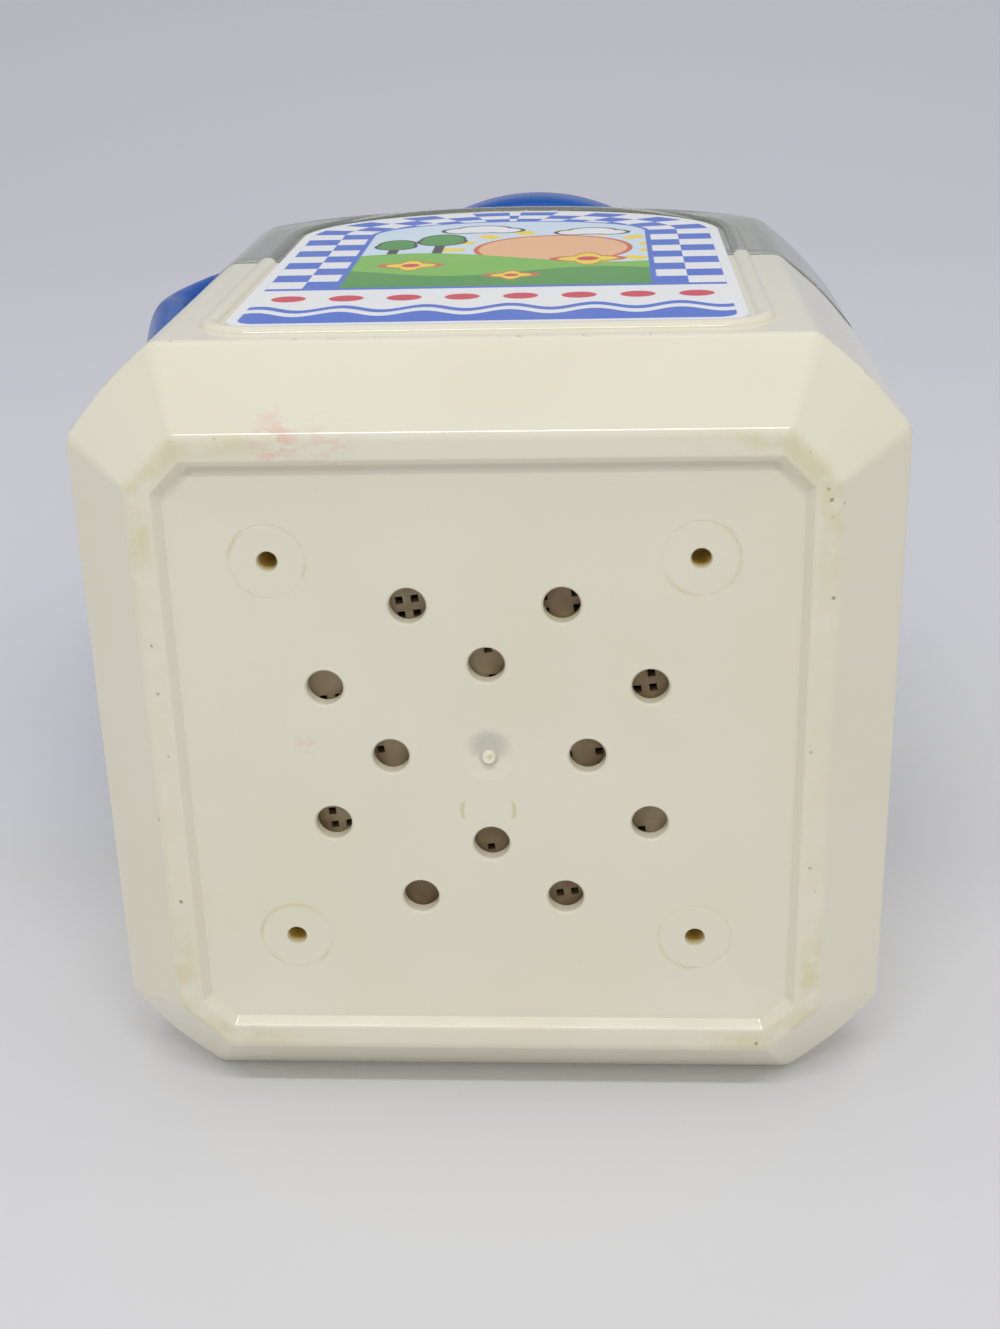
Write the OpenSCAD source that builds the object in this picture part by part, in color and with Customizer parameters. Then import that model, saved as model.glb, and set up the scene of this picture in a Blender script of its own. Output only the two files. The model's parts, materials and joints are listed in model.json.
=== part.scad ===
// Toy milk bottle: an eight-sided cream cup with a moo voice box inside, a clear shoulder and neck,
// a collar with a handle, and a cap that pushes into the neck.
// Millimetres. +Z runs up the bottle's axis from the foot. The label faces -Y and the handle points to -X.

/* [Body] */
// Width of the body across its flats
body_w = 108; // [100:1:118]
// Leg of the facet on each upright edge
corner_cut = 12.2; // [10:0.1:15]
// Height of the lower cup's top edge above the foot
cup_h = 65; // [61:1:72]
// Wall of the lower cup
cup_wall = 2.4; // [1.8:0.1:3]

/* [Foot] */
// How far the foot bevel runs in from the flats
bevel_run = 9.8; // [6:0.2:12]
// How far the foot bevel rises
bevel_rise = 8.2; // [6:0.2:11]
// Width of the bead that the bottle stands on
bead_w = 3.9; // [3:0.1:5]
// Height of the bead below the bevel
bead_h = 1.8; // [1:0.1:1.9]
// Chamfer on the bead's outer edge
bead_chamfer = 0.9; // [0.3:0.1:1]
// Depth of the bottom plate behind the foot
recess = 2; // [1.9:0.1:3]
// Thickness of the bottom plate
plate_t = 2.6; // [2:0.1:3.4]

/* [Sound holes] */
// Diameter of each sound hole
sound_d = 4.8; // [3:0.1:5]
// Radius of the outer ring of sound holes
sound_ring_r = 23.4; // [21:0.1:25]
// Angle of the outer holes from the nearest axis
sound_ring_angle = 25; // [16:1:28]
// Radius of the inner ring of sound holes
sound_inner_r = 13; // [9:0.1:15]
// Diameter of the moulding nub in the middle
nub_d = 1.6; // [1:0.1:3]
// Height of the moulding nub
nub_h = 0.6; // [0.3:0.1:1]

/* [Posts] */
// Diameter of the four posts that carry the inner floor
post_d = 8; // [7:0.1:9]
// Space between the voice box and a post
post_gap = 2.9; // [1:0.1:4]
// Diameter of the pilot hole under each post
pilot_d = 2.5; // [2:0.1:3]
// Depth of the pilot hole from the plate's face
pilot_depth = 6; // [4:0.5:10]
// Diameter of the floor's pegs
peg_d = 3.2; // [2.6:0.1:4]
// Length of the floor's pegs
peg_len = 10; // [6:0.5:14]
// Thickness of the inner floor
floor_t = 2.2; // [1.6:0.1:3]

/* [Clear top] */
// Wall of the clear top
shell_wall = 2.2; // [1.6:0.1:2.8]
// Length of the spigot inside the cup
spigot_len = 5.2; // [4:0.1:7]
// Wall of the spigot
spigot_t = 1.8; // [1.2:0.1:2.4]
// Height at which the shoulder starts to round in
shoulder_z = 90; // [86:0.2:100]
// Radius of the rounded shoulder
shoulder_r = 30.8; // [28:0.2:33]
// How far outside the body's edges that rounding starts
shoulder_reach = 2.9; // [0:0.1:4]
// Radius of the hollow curve from shoulder to neck
sweep_r = 60; // [50:1:66]
// Outer diameter of the neck
neck_d = 71; // [64:0.5:74]
// Height of the mouth above the foot
mouth_z = 216; // [208:1:230]

/* [Label] */
// Bare margin between the label and the edge of the front flat
label_margin = 7.8; // [6:0.1:12]
// Gap from the foot bevel to the label
label_foot_gap = 7; // [6:0.1:10]
// Gap from the label's arch to the top of the front flat
label_top_gap = 6.8; // [6:0.1:10]
// Rise of the label's arch
arch_rise = 23.8; // [18:0.2:28]
// Radius of the label's lower corners
label_corner_r = 4; // [2:0.5:8]
// Thickness of the label
label_t = 0.25; // [0.2:0.05:0.5]
// Gap between the label and its raised frame
frame_gap = 0.9; // [0.3:0.1:1]
// Width of the raised frame
frame_w = 2.6; // [2:0.1:4]
// Height of the raised frame
frame_h = 0.8; // [0.4:0.1:1.2]

/* [Collar and handle] */
// Outer diameter of the collar
collar_d = 88; // [84:0.5:92]
// Height of the collar
collar_h = 16; // [13:0.5:20]
// Rounding of the collar's outer edges
collar_round = 5; // [2:0.5:6]
// How far the collar's top stays below the mouth
collar_drop = 2; // [1:0.5:4]
// Height of the ledge on the neck under the collar
seat_h = 3; // [2:0.5:5]
// Width of that ledge
seat_w = 3; // [2:0.5:4]
// How far the handle stands out from the side of the body
handle_reach = 35; // [32:0.5:42]
// Thickness of the handle's strap
strap_t = 15; // [10:0.5:16]
// Width of the strap where it leaves the collar
strap_root_w = 66; // [56:1:68]
// Width of the strap at its outer bend
strap_bend_w = 51; // [36:1:54]
// Width of the strap at the body
strap_foot_w = 26; // [18:1:28]
// Radius of the strap's outer bend, at mid thickness
bend_r = 18; // [12:0.5:22]
// Lean of the strap towards the body below the bend, in degrees
bend_lean = 12; // [0:1:20]
// Width of the pad on the body
pad_w = 32; // [28:1:36]
// Height of the pad
pad_h = 22; // [18:1:26]
// Thickness of the pad
pad_t = 3; // [2:0.5:4]
// Gap from the pad to the top of the side flat
pad_drop = 4; // [3:0.5:8]
// Diameter of the two rivets moulded on the pad
rivet_d = 5; // [4:0.1:6]
// Distance between the rivets
rivet_pitch = 16; // [12:0.5:18]
// Diameter of the rivets' heads
rivet_head_d = 8; // [7:0.1:9]
// Thickness of the rivets' heads
rivet_head_t = 1.4; // [1:0.1:2]

/* [Cap] */
// Diameter of the cap's rim
cap_d = 82; // [78:0.5:86]
// Height of the cap's rim
cap_rim_h = 5; // [4:0.1:7]
// Rise of the cap's dome above the rim
cap_dome_h = 7; // [4:0.5:10]
// Wall of the cap
cap_wall = 2.4; // [1.8:0.1:3]
// Length of the plug that goes into the neck
plug_len = 14; // [10:0.5:18]
// Wall of the plug
plug_wall = 2; // [1.4:0.1:2.6]

/* [Voice box] */
// Outer diameter of the voice box's tube
can_d = 60; // [56:0.5:62]
// Wall of the tube
can_wall = 1.6; // [1:0.1:2]
// Thickness of the grille and of the lid
can_end_t = 1.6; // [1.2:0.1:2.2]
// Wall of the skirts on the grille and the lid
skirt_t = 1.8; // [1.2:0.1:2.2]
// Length of those skirts
skirt_len = 6; // [4:0.5:7]
// Width of each square perforation in the grille
perf_w = 1; // [0.6:0.1:1.4]
// Pitch of the perforations
perf_pitch = 2.07; // [1.6:0.01:2.4]
// Turn of the lattice that the perforations lie on, in degrees
perf_turn = 7.5; // [0:0.5:45]
// Thickness of the foam ring above the lid
foam_t = 4.4; // [3:0.1:5]
// Width of the foam ring
foam_w = 8; // [5:0.5:10]
// Thickness of the felt pad inside the lid
felt_t = 1.5; // [1:0.1:2]
// Diameter of the felt pad
felt_d = 36; // [28:1:42]
// Diameter of the lid's vents
vent_d = 3; // [2:0.1:4]
// Number of vents
vent_count = 6; // [4:1:8]
// Radius of the ring of vents
vent_r = 22; // [20:0.5:23]

/* [Reed and bellows] */
// Space under the sound plate for the reed
reed_room = 7.2; // [6.8:0.1:9]
// Thickness of the sound plate
sound_plate_t = 1.6; // [1.2:0.1:2.4]
// Width of the ledge that carries the sound plate
ledge_w = 2.4; // [1.6:0.1:3]
// Thickness of that ledge
ledge_t = 1.6; // [1:0.1:2.4]
// Diameter of the air hole in the sound plate
air_d = 6; // [4:0.1:7]
// Length of the reed block
reed_l = 18; // [16:0.5:22]
// Width of the reed block
reed_w = 9; // [8:0.1:12]
// Height of the reed block
reed_h = 4.2; // [3.6:0.1:4.4]
// Width of the reed block's air slot
slot_w = 2.4; // [1.6:0.1:2.8]
// Length of the air slot
slot_l = 9; // [6.5:0.5:9.5]
// Width of the reed's tongue
tongue_w = 3.4; // [3:0.1:4]
// Thickness of the tongue
tongue_t = 0.35; // [0.2:0.05:0.5]
// Length of the clip that holds the tongue's root
clip_l = 4; // [3:0.1:4.4]
// Thickness of the clip under the tongue
clip_t = 1; // [0.6:0.1:1.2]
// Height of the closed bellows with its cuffs
bellows_h = 13; // [11:0.5:15]
// Height of each cuff
cuff_h = 3; // [2.4:0.1:3.6]
// Diameter of the spools that the cuffs slip over
spool_d = 31; // [27:0.5:33]
// Wall of the spools
spool_wall = 1.5; // [1:0.1:2]
// Wall of the bellows' cuffs
cuff_t = 0.6; // [0.4:0.05:0.8]
// Depth of the bellows' folds
fold_depth = 6; // [4:0.1:6.5]
// Number of folds
fold_count = 3; // [2:1:4]
// Wall of the cuff rings
ring_t = 1.5; // [1:0.1:2]
// Thickness of the carrier's disc
carrier_t = 1.6; // [1.2:0.1:2.2]
// Height of the carrier's rim around the weight
carrier_rim_h = 4; // [3:0.5:6]
// Wall of the carrier's rim
carrier_rim_t = 1.8; // [1.2:0.1:2.2]
// Diameter of the weight
weight_d = 46; // [40:0.5:47]
// Thickness of the weight
weight_t = 6; // [4:0.1:8]

/* [Clearances] */
// Between pieces that are pushed together and stay
fit = 0.1; // [0.05:0.01:0.15]
// Between the cap's plug and the neck
plug_fit = 0.3; // [0.2:0.05:0.4]
// Between the cap's rim and the mouth
rim_gap = 0.2; // [0.1:0.05:0.4]
// Between the sliding carrier and the tube
slide_fit = 0.8; // [0.5:0.1:1]
// Over and under the reed's tongue
tongue_gap = 0.15; // [0.1:0.01:0.2]
// Extra depth of the clip's slot, for the tongue to swing
tongue_swing = 0.2; // [0.15:0.01:0.3]

/* [Hidden] */
$fn = 96;
half_w = body_w / 2;
flat_half = half_w - corner_cut;
facet_r = (body_w - corner_cut) / sqrt(2);
vertex_r = norm([half_w, flat_half]);
cut_size = 3 * body_w;
overlap = 0.5;
through = 1;

bevel_z = bead_h + bevel_rise;
bevel_tilt = atan2(bevel_run, bevel_rise);
rest_inset = bevel_run + bead_w;
plate_z = recess + plate_t;

floor_z1 = cup_h - spigot_len;
floor_z0 = floor_z1 - floor_t;
lid_z1 = floor_z0 - foam_t;
lid_z0 = lid_z1 - can_end_t;
tube_z0 = plate_z + can_end_t;
can_r = can_d / 2;
bore_r = can_r - can_wall;
can_end_r = can_r + fit + skirt_t;
post_r = can_end_r + post_gap + post_d / 2;
post_xy = post_r / sqrt(2);

dome_r0 = vertex_r + shoulder_reach;
dome_c = dome_r0 - shoulder_r;
neck_r = neck_d / 2;
sweep_x = neck_r + sweep_r;
sweep_rise = sqrt(pow(shoulder_r + sweep_r, 2) - pow(sweep_x - dome_c, 2));
sweep_z = shoulder_z + sweep_rise;
sweep_angle = atan2(sweep_rise, sweep_x - dome_c);
flat_top_z = shoulder_z + sqrt(pow(shoulder_r, 2) - pow(half_w - dome_c, 2));
arc_steps = 12;

label_half = flat_half - label_margin;
label_z0 = bevel_z + label_foot_gap;
label_z1 = flat_top_z - label_top_gap;
arch_z = label_z1 - arch_rise;
arch_steps = 32;
corner_steps = 8;

collar_z1 = mouth_z - collar_drop;
collar_z0 = collar_z1 - collar_h;
collar_bore_r = neck_r + fit;
strap_z = (collar_z0 + collar_z1) / 2;
strap_x0 = neck_r + overlap;
strap_out = half_w + handle_reach - strap_t / 2;
pad_z = flat_top_z - pad_drop - pad_h / 2;
strap_sides = 24;
strap_roundness = 2.2;
strap_taper = 2;
bend_steps = 9;
drop_steps = 16;
drop_pull = 0.55;
foot_pull = 0.7;

cap_z = mouth_z + rim_gap;
plug_r = neck_r - shell_wall - plug_fit;
cap_r = cap_d / 2;

plate_under_z = tube_z0 + reed_room;
bellows_z0 = plate_under_z + sound_plate_t;
carrier_z0 = bellows_z0 + bellows_h;
weight_z0 = carrier_z0 + carrier_t;
spool_r = spool_d / 2;
cuff_r0 = spool_r + fit / 2;
cuff_r1 = cuff_r0 + cuff_t;
ring_r0 = cuff_r1 + fit;
valley_r = cuff_r1 + ring_t;
reed_z0 = plate_under_z - reed_h;
tongue_z1 = reed_z0 - tongue_gap;
tongue_z0 = tongue_z1 - tongue_t;
clip_slot_z = tongue_z0 - tongue_swing;
clip_z0 = clip_slot_z - clip_t;
tongue_x0 = -reed_l / 2 + tongue_gap;
tongue_x1 = -reed_l / 2 + clip_l + slot_l + slot_w / 2;
slot_x = -reed_l / 2 + clip_l + slot_l / 2;

cream = "antiquewhite";
blue = "royalblue";
clear = [0.72, 0.75, 0.66, 0.45];
grey = "dimgray";

// Points of an arc around c, from angle a0 to a1.
function arc(c, r, a0, a1, steps) =
    [for (i = [0:steps]) c + r * [cos(a0 + (a1 - a0) * i / steps), sin(a0 + (a1 - a0) * i / steps)]];

// The body's eight-sided outline, drawn in by inset on every side.
function body_outline(inset) =
    let (h = half_w - inset, f = h - corner_cut + inset * (2 - sqrt(2)))
    [[h, f], [f, h], [-f, h], [-h, f], [-h, -f], [-f, -h], [f, -h], [h, -f]];

// The label's arched outline in X and Z, grown by grow on every side.
function arch_outline(grow) =
    let (w = label_half + grow, r = label_corner_r + grow, z = label_z0 - grow)
    concat(
        arc([r - w, z + r], r, 180, 270, corner_steps),
        arc([w - r, z + r], r, 270, 360, corner_steps),
        [for (i = [0:arch_steps])
            [w * cos(180 * i / arch_steps), arch_z + (arch_rise + grow) * sin(180 * i / arch_steps)]]
    );

// Half section of the clear top's round shape, drawn in by inset, from z0 up to z1.
function top_section(inset, z0, z1) =
    concat(
        [[0, z0], [dome_r0 - inset, z0]],
        arc([dome_c, shoulder_z], shoulder_r - inset, 0, sweep_angle, arc_steps),
        arc([sweep_x, sweep_z], sweep_r + inset, 180 + sweep_angle, 180, arc_steps),
        [[neck_r - inset, z1], [0, z1]]
    );

// Rounded rectangle around the origin.
function round_rect(w, h, r) =
    concat(
        arc([w / 2 - r, h / 2 - r], r, 0, 90, corner_steps),
        arc([r - w / 2, h / 2 - r], r, 90, 180, corner_steps),
        arc([r - w / 2, r - h / 2], r, 180, 270, corner_steps),
        arc([w / 2 - r, r - h / 2], r, 270, 360, corner_steps)
    );

// Cuts the eight edges along a plane that meets the sides at height z, inset from the flats.
module oct_cut(inset, z, tilt) {
    for (i = [0:7])
        rotate(45 * i)
            translate([(i % 2 == 0 ? half_w : facet_r) - inset, 0, z])
                rotate([0, tilt, 0])
                    translate([0, -cut_size / 2, -cut_size / 2])
                        cube(cut_size);
}

module body_prism(inset, z0, z1) {
    translate([0, 0, z0])
        linear_extrude(z1 - z0)
            polygon(body_outline(inset));
}

module ring(r0, r1, z0, z1) {
    translate([0, 0, z0])
        difference() {
            cylinder(r = r1, h = z1 - z0);
            translate([0, 0, -through]) cylinder(r = r0, h = z1 - z0 + 2 * through);
        }
}

module disc(r, z0, z1) {
    translate([0, 0, z0]) cylinder(r = r, h = z1 - z0);
}

module at_posts() {
    for (x = [-post_xy, post_xy], y = [-post_xy, post_xy])
        translate([x, y, 0]) children();
}

// The middles of the sound holes: four on the axes, and a pair beside each axis.
function polar(r, a) = r * [cos(a), sin(a)];

sound_holes = [for (i = [0:3]) each [
    polar(sound_inner_r, 90 * i),
    polar(sound_ring_r, 90 * i - sound_ring_angle),
    polar(sound_ring_r, 90 * i + sound_ring_angle)
]];

module at_sound_holes() {
    for (p = sound_holes)
        translate([p[0], p[1], 0]) children();
}

// The raised frame around the label, between heights z0 and z1.
module label_frame(z0, z1) {
    translate([0, overlap - half_w, 0])
        rotate([90, 0, 0])
            linear_extrude(frame_h + overlap)
                intersection() {
                    difference() {
                        polygon(arch_outline(frame_gap + frame_w));
                        polygon(arch_outline(frame_gap));
                    }
                    translate([-half_w, z0]) square([body_w, z1 - z0]);
                }
}

module foot_bead() {
    difference() {
        body_prism(bevel_run, 0, bead_h + overlap);
        oct_cut(bevel_run, bead_chamfer, 45);
        body_prism(rest_inset, -through, recess);
    }
}

module cup_body() {
    difference() {
        body_prism(0, bead_h, cup_h);
        oct_cut(0, bevel_z, bevel_tilt);
        difference() {
            body_prism(cup_wall, plate_z, cup_h + through);
            oct_cut(cup_wall / cos(bevel_tilt), bevel_z, bevel_tilt);
        }
        body_prism(rest_inset, 0, recess);
    }
}

module base_cup() {
    color(cream)
        difference() {
            union() {
                cup_body();
                foot_bead();
                at_posts() disc(post_d / 2, plate_z - overlap, floor_z0);
                disc(nub_d / 2, recess - nub_h, recess + overlap);
                label_frame(0, cup_h);
            }
            at_sound_holes() disc(sound_d / 2, 0, plate_z + through);
            at_posts() disc(pilot_d / 2, 0, recess + pilot_depth);
            at_posts() disc(peg_d / 2 + fit / 2, floor_z0 - peg_len - through, floor_z0 + through);
        }
}

module inner_floor() {
    color(cream) {
        body_prism(cup_wall + fit, floor_z0, floor_z1);
        at_posts() disc(peg_d / 2, floor_z0 - peg_len, floor_z0 + overlap);
    }
}

module top_form(inset, z0, z1) {
    intersection() {
        body_prism(inset, z0, z1);
        rotate_extrude() polygon(top_section(inset, z0, z1));
    }
}

module spigot() {
    inset = cup_wall + fit;
    difference() {
        union() {
            body_prism(inset, floor_z1, cup_h);
            body_prism(shell_wall / 2, cup_h, cup_h + spigot_t);
        }
        body_prism(inset + spigot_t, floor_z1 - through, cup_h + spigot_t + through);
    }
}

module at_rivets() {
    for (side = [-1, 1])
        translate([-half_w, side * rivet_pitch / 2, pad_z]) rotate([0, 90, 0]) children();
}

module clear_top() {
    color(clear)
        difference() {
            union() {
                difference() {
                    top_form(0, cup_h, mouth_z);
                    top_form(shell_wall, cup_h - through, mouth_z + through);
                }
                ring(neck_r - shell_wall / 2, neck_r + seat_w, collar_z0 - seat_h, collar_z0);
                spigot();
                label_frame(cup_h, mouth_z);
            }
            at_rivets() disc(rivet_d / 2 + fit / 2, -through, shell_wall + through);
        }
}

module front_label() {
    color("white")
        translate([0, -half_w, 0])
            rotate([90, 0, 0])
                linear_extrude(label_t)
                    polygon(arch_outline(0));
}

// The strap's middle line in X and Z: out from the collar, round the bend and down to the pad.
function bezier(p, t) =
    pow(1 - t, 3) * p[0] + 3 * t * pow(1 - t, 2) * p[1] + 3 * t * t * (1 - t) * p[2] + pow(t, 3) * p[3];

bend_c = [bend_r - strap_out, strap_z - bend_r];
bend_end = bend_c - bend_r * [cos(bend_lean), sin(bend_lean)];
drop_len = bend_end[1] - pad_z;
drop_curve = [
    bend_end,
    bend_end + drop_pull * drop_len * [sin(bend_lean), -cos(bend_lean)],
    [-half_w - foot_pull * (strap_out - half_w), pad_z],
    [-half_w - pad_t / 2, pad_z]
];
strap_line = concat(
    [[-strap_x0, strap_z]],
    arc(bend_c, bend_r, 90, 180 + bend_lean, bend_steps),
    [for (i = [1:drop_steps]) bezier(drop_curve, i / drop_steps)]
);
strap_last = len(strap_line) - 1;

// Half width of the strap at point i: it narrows late along the top, then down to the pad.
function strap_half(i) =
    i <= bend_steps + 1
        ? let (u = (-strap_line[i][0] - strap_x0) / (strap_out - strap_x0))
            (strap_root_w + (strap_bend_w - strap_root_w) * pow(u, strap_taper)) / 2
        : let (u = (i - bend_steps - 1) / drop_steps)
            (strap_bend_w + (strap_foot_w - strap_bend_w) * u) / 2;

function strap_normal(i) =
    let (d = strap_line[min(i + 1, strap_last)] - strap_line[max(i - 1, 0)])
    [-d[1], d[0]] / norm(d);

function rounded(v) = sign(v) * pow(abs(v), 2 / strap_roundness);

function strap_ring(i) =
    let (p = strap_line[i], n = strap_normal(i))
    [for (k = [0:strap_sides - 1])
        let (a = 360 * k / strap_sides, q = strap_t / 2 * rounded(sin(a)))
        [p[0] + n[0] * q, strap_half(i) * rounded(cos(a)), p[1] + n[1] * q]];

module strap() {
    rings = [for (i = [0:strap_last]) each strap_ring(i)];
    sides = [for (i = [0:strap_last - 1], k = [0:strap_sides - 1])
        let (a = i * strap_sides + k, b = i * strap_sides + (k + 1) % strap_sides)
        each [[a, b + strap_sides, b], [a, a + strap_sides, b + strap_sides]]];
    end = strap_last * strap_sides;
    first = [for (k = [1:strap_sides - 2]) [0, k, k + 1]];
    last = [for (k = [1:strap_sides - 2]) [end, end + k + 1, end + k]];
    polyhedron(rings, concat(sides, first, last));
}

module collar_ring() {
    r1 = collar_d / 2;
    rotate_extrude()
        polygon(concat(
            [[neck_r, collar_z0]],
            arc([r1 - collar_round, collar_z0 + collar_round], collar_round, 270, 360, corner_steps),
            arc([r1 - collar_round, collar_z1 - collar_round], collar_round, 0, 90, corner_steps),
            [[neck_r, collar_z1]]
        ));
}

module pad() {
    translate([-half_w - pad_t, 0, pad_z])
        rotate([90, 0, 90])
            linear_extrude(pad_t)
                polygon(round_rect(pad_w, pad_h, pad_h / 2 - overlap));
    at_rivets() disc(rivet_d / 2, -overlap, shell_wall + overlap);
    at_rivets() disc(rivet_head_d / 2, shell_wall, shell_wall + rivet_head_t);
}

module collar_handle() {
    color(blue)
        union() {
            difference() {
                union() {
                    collar_ring();
                    strap();
                }
                disc(collar_bore_r, collar_z0 - through, collar_z1 + through);
            }
            pad();
        }
}

module cap() {
    rim_z = cap_z + cap_rim_h;
    dome_r = (pow(cap_r, 2) + pow(cap_dome_h, 2)) / (2 * cap_dome_h);
    dome_a = asin(cap_r / dome_r);
    dome_mid = [0, rim_z + cap_dome_h - dome_r];
    inner_a = asin((plug_r - plug_wall) / (dome_r - cap_wall));
    color(blue)
        rotate_extrude()
            polygon(concat(
                arc(dome_mid, dome_r, 90, 90 - dome_a, arc_steps),
                [
                    [cap_r, cap_z],
                    [plug_r, cap_z],
                    [plug_r, cap_z - plug_len],
                    [plug_r - plug_wall, cap_z - plug_len]
                ],
                arc(dome_mid, dome_r - cap_wall, 90 - inner_a, 90, arc_steps)
            ));
}

module can_tube() {
    color(grey) {
        ring(bore_r, can_r, tube_z0, lid_z0);
        ring(bore_r - ledge_w, bore_r + can_wall / 2, plate_under_z - ledge_t, plate_under_z);
    }
}

// Square perforations on one turned lattice, where a sound hole shows them.
module perforations() {
    cells = ceil((sound_ring_r + sound_d) / perf_pitch);
    for (i = [-cells:cells], j = [-cells:cells]) {
        spot = polar(perf_pitch * norm([i, j]), atan2(j, i) - perf_turn);
        if (min([for (p = sound_holes) norm(p - spot)]) < sound_d / 2)
            translate([spot[0], spot[1], plate_z + can_end_t / 2])
                rotate(-perf_turn)
                    cube([perf_w, perf_w, can_end_t + 2 * through], center = true);
    }
}

module can_grille() {
    color(grey)
        difference() {
            union() {
                disc(can_end_r, plate_z, tube_z0);
                ring(can_r + fit, can_end_r, plate_z + can_end_t / 2, tube_z0 + skirt_len);
            }
            perforations();
        }
}

module can_lid() {
    color(grey)
        difference() {
            union() {
                disc(can_end_r, lid_z0, lid_z1);
                ring(can_r + fit, can_end_r, lid_z0 - skirt_len, lid_z1 - can_end_t / 2);
            }
            for (i = [1:vent_count])
                rotate(360 * i / vent_count)
                    translate([vent_r, 0, 0])
                        disc(vent_d / 2, lid_z0 - through, lid_z1 + through);
        }
}

module felt_pad() {
    color("darkkhaki") disc(felt_d / 2, lid_z0 - felt_t, lid_z0);
}

module foam_ring() {
    color("gainsboro") ring(can_end_r - foam_w, can_end_r, lid_z1, floor_z0);
}

module spool(z0, z1) {
    ring(spool_r - spool_wall, spool_r, z0, z1);
}

module sound_plate() {
    color("silver")
        difference() {
            union() {
                disc(bore_r - fit, plate_under_z, bellows_z0);
                spool(bellows_z0 - sound_plate_t / 2, bellows_z0 + cuff_h);
            }
            translate([slot_x, 0, 0]) disc(air_d / 2, plate_under_z - through, bellows_z0 + through);
        }
}

module reed_block() {
    color("white")
        difference() {
            translate([-reed_l / 2, -reed_w / 2, reed_z0]) cube([reed_l, reed_w, reed_h]);
            translate([slot_x - slot_l / 2, -slot_w / 2, reed_z0 - through])
                cube([slot_l, slot_w, reed_h + 2 * through]);
        }
}

module reed_clip() {
    slot_half = tongue_w / 2 + tongue_gap;
    color("silver")
        difference() {
            translate([-reed_l / 2, -reed_w / 2, clip_z0]) cube([clip_l, reed_w, reed_z0 - clip_z0]);
            translate([-reed_l / 2 - through, -slot_half, clip_slot_z])
                cube([clip_l + 2 * through, 2 * slot_half, reed_z0]);
        }
}

module reed_tongue() {
    color("goldenrod")
        translate([tongue_x0, -tongue_w / 2, tongue_z0]) cube([tongue_x1 - tongue_x0, tongue_w, tongue_t]);
}

// Thin folded wall: cuff, folds, cuff, and back down the inside.
module bellows() {
    low = bellows_z0 + cuff_h;
    high = carrier_z0 - cuff_h;
    leaf = (high - low) / (2 * fold_count);
    wall = fold_depth * 2 * cuff_t / 3 / leaf;
    outer = [for (i = [1:2 * fold_count - 1])
        [valley_r + (i % 2) * fold_depth, low + i * leaf]];
    inner = [for (i = [2 * fold_count - 1:-1:1])
        [valley_r + (i % 2) * fold_depth - wall, low + i * leaf]];
    color("tan")
        rotate_extrude()
            polygon(concat(
                [[cuff_r1, bellows_z0 + fit], [cuff_r1, low]],
                outer,
                [[cuff_r1, high], [cuff_r1, carrier_z0 - fit], [cuff_r0, carrier_z0 - fit], [cuff_r0, high]],
                inner,
                [[cuff_r0, low], [cuff_r0, bellows_z0 + fit]]
            ));
}

module cuff_ring(z0) {
    color("silver") ring(ring_r0, ring_r0 + ring_t, z0, z0 + cuff_h - 2 * fit);
}

module lower_cuff_ring() {
    cuff_ring(bellows_z0);
}

module upper_cuff_ring() {
    cuff_ring(carrier_z0 - cuff_h + 2 * fit);
}

module weight_carrier() {
    rim_r = weight_d / 2 + fit;
    color("white") {
        disc(bore_r - slide_fit, carrier_z0, weight_z0);
        ring(rim_r, rim_r + carrier_rim_t, weight_z0 - carrier_t / 2, weight_z0 + carrier_rim_h);
        spool(carrier_z0 - cuff_h, carrier_z0 + carrier_t / 2);
    }
}

module voice_weight() {
    color("slategray") disc(weight_d / 2, weight_z0, weight_z0 + weight_t);
}

base_cup();
inner_floor();
clear_top();
front_label();
collar_handle();
cap();
can_tube();
can_grille();
can_lid();
felt_pad();
foam_ring();
sound_plate();
reed_block();
reed_clip();
reed_tongue();
bellows();
lower_cuff_ring();
upper_cuff_ring();
weight_carrier();
voice_weight();
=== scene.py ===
import json
import math

import bpy
import numpy as np
from mathutils import Matrix, Vector

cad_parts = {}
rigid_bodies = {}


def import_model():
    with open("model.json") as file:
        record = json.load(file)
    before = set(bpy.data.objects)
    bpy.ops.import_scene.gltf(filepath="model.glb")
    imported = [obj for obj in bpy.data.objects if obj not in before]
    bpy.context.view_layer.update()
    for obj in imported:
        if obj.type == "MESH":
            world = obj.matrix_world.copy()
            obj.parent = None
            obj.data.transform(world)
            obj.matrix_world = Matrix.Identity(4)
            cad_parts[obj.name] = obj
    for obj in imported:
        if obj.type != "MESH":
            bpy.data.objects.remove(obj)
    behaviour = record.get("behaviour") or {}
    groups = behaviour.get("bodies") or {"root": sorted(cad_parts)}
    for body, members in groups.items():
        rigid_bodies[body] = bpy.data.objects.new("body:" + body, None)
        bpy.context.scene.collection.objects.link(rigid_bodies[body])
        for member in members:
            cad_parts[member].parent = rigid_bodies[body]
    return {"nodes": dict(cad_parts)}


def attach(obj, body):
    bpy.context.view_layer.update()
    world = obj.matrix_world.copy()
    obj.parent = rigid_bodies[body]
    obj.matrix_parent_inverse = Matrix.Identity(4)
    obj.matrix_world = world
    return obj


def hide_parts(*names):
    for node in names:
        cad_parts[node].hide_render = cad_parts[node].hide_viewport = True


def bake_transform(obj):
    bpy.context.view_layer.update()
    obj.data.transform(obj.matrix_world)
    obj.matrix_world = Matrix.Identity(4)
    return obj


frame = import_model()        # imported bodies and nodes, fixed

mm = 0.001
scene = bpy.context.scene
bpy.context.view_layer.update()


# node sockets, for shaders and geometry trees alike

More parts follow.
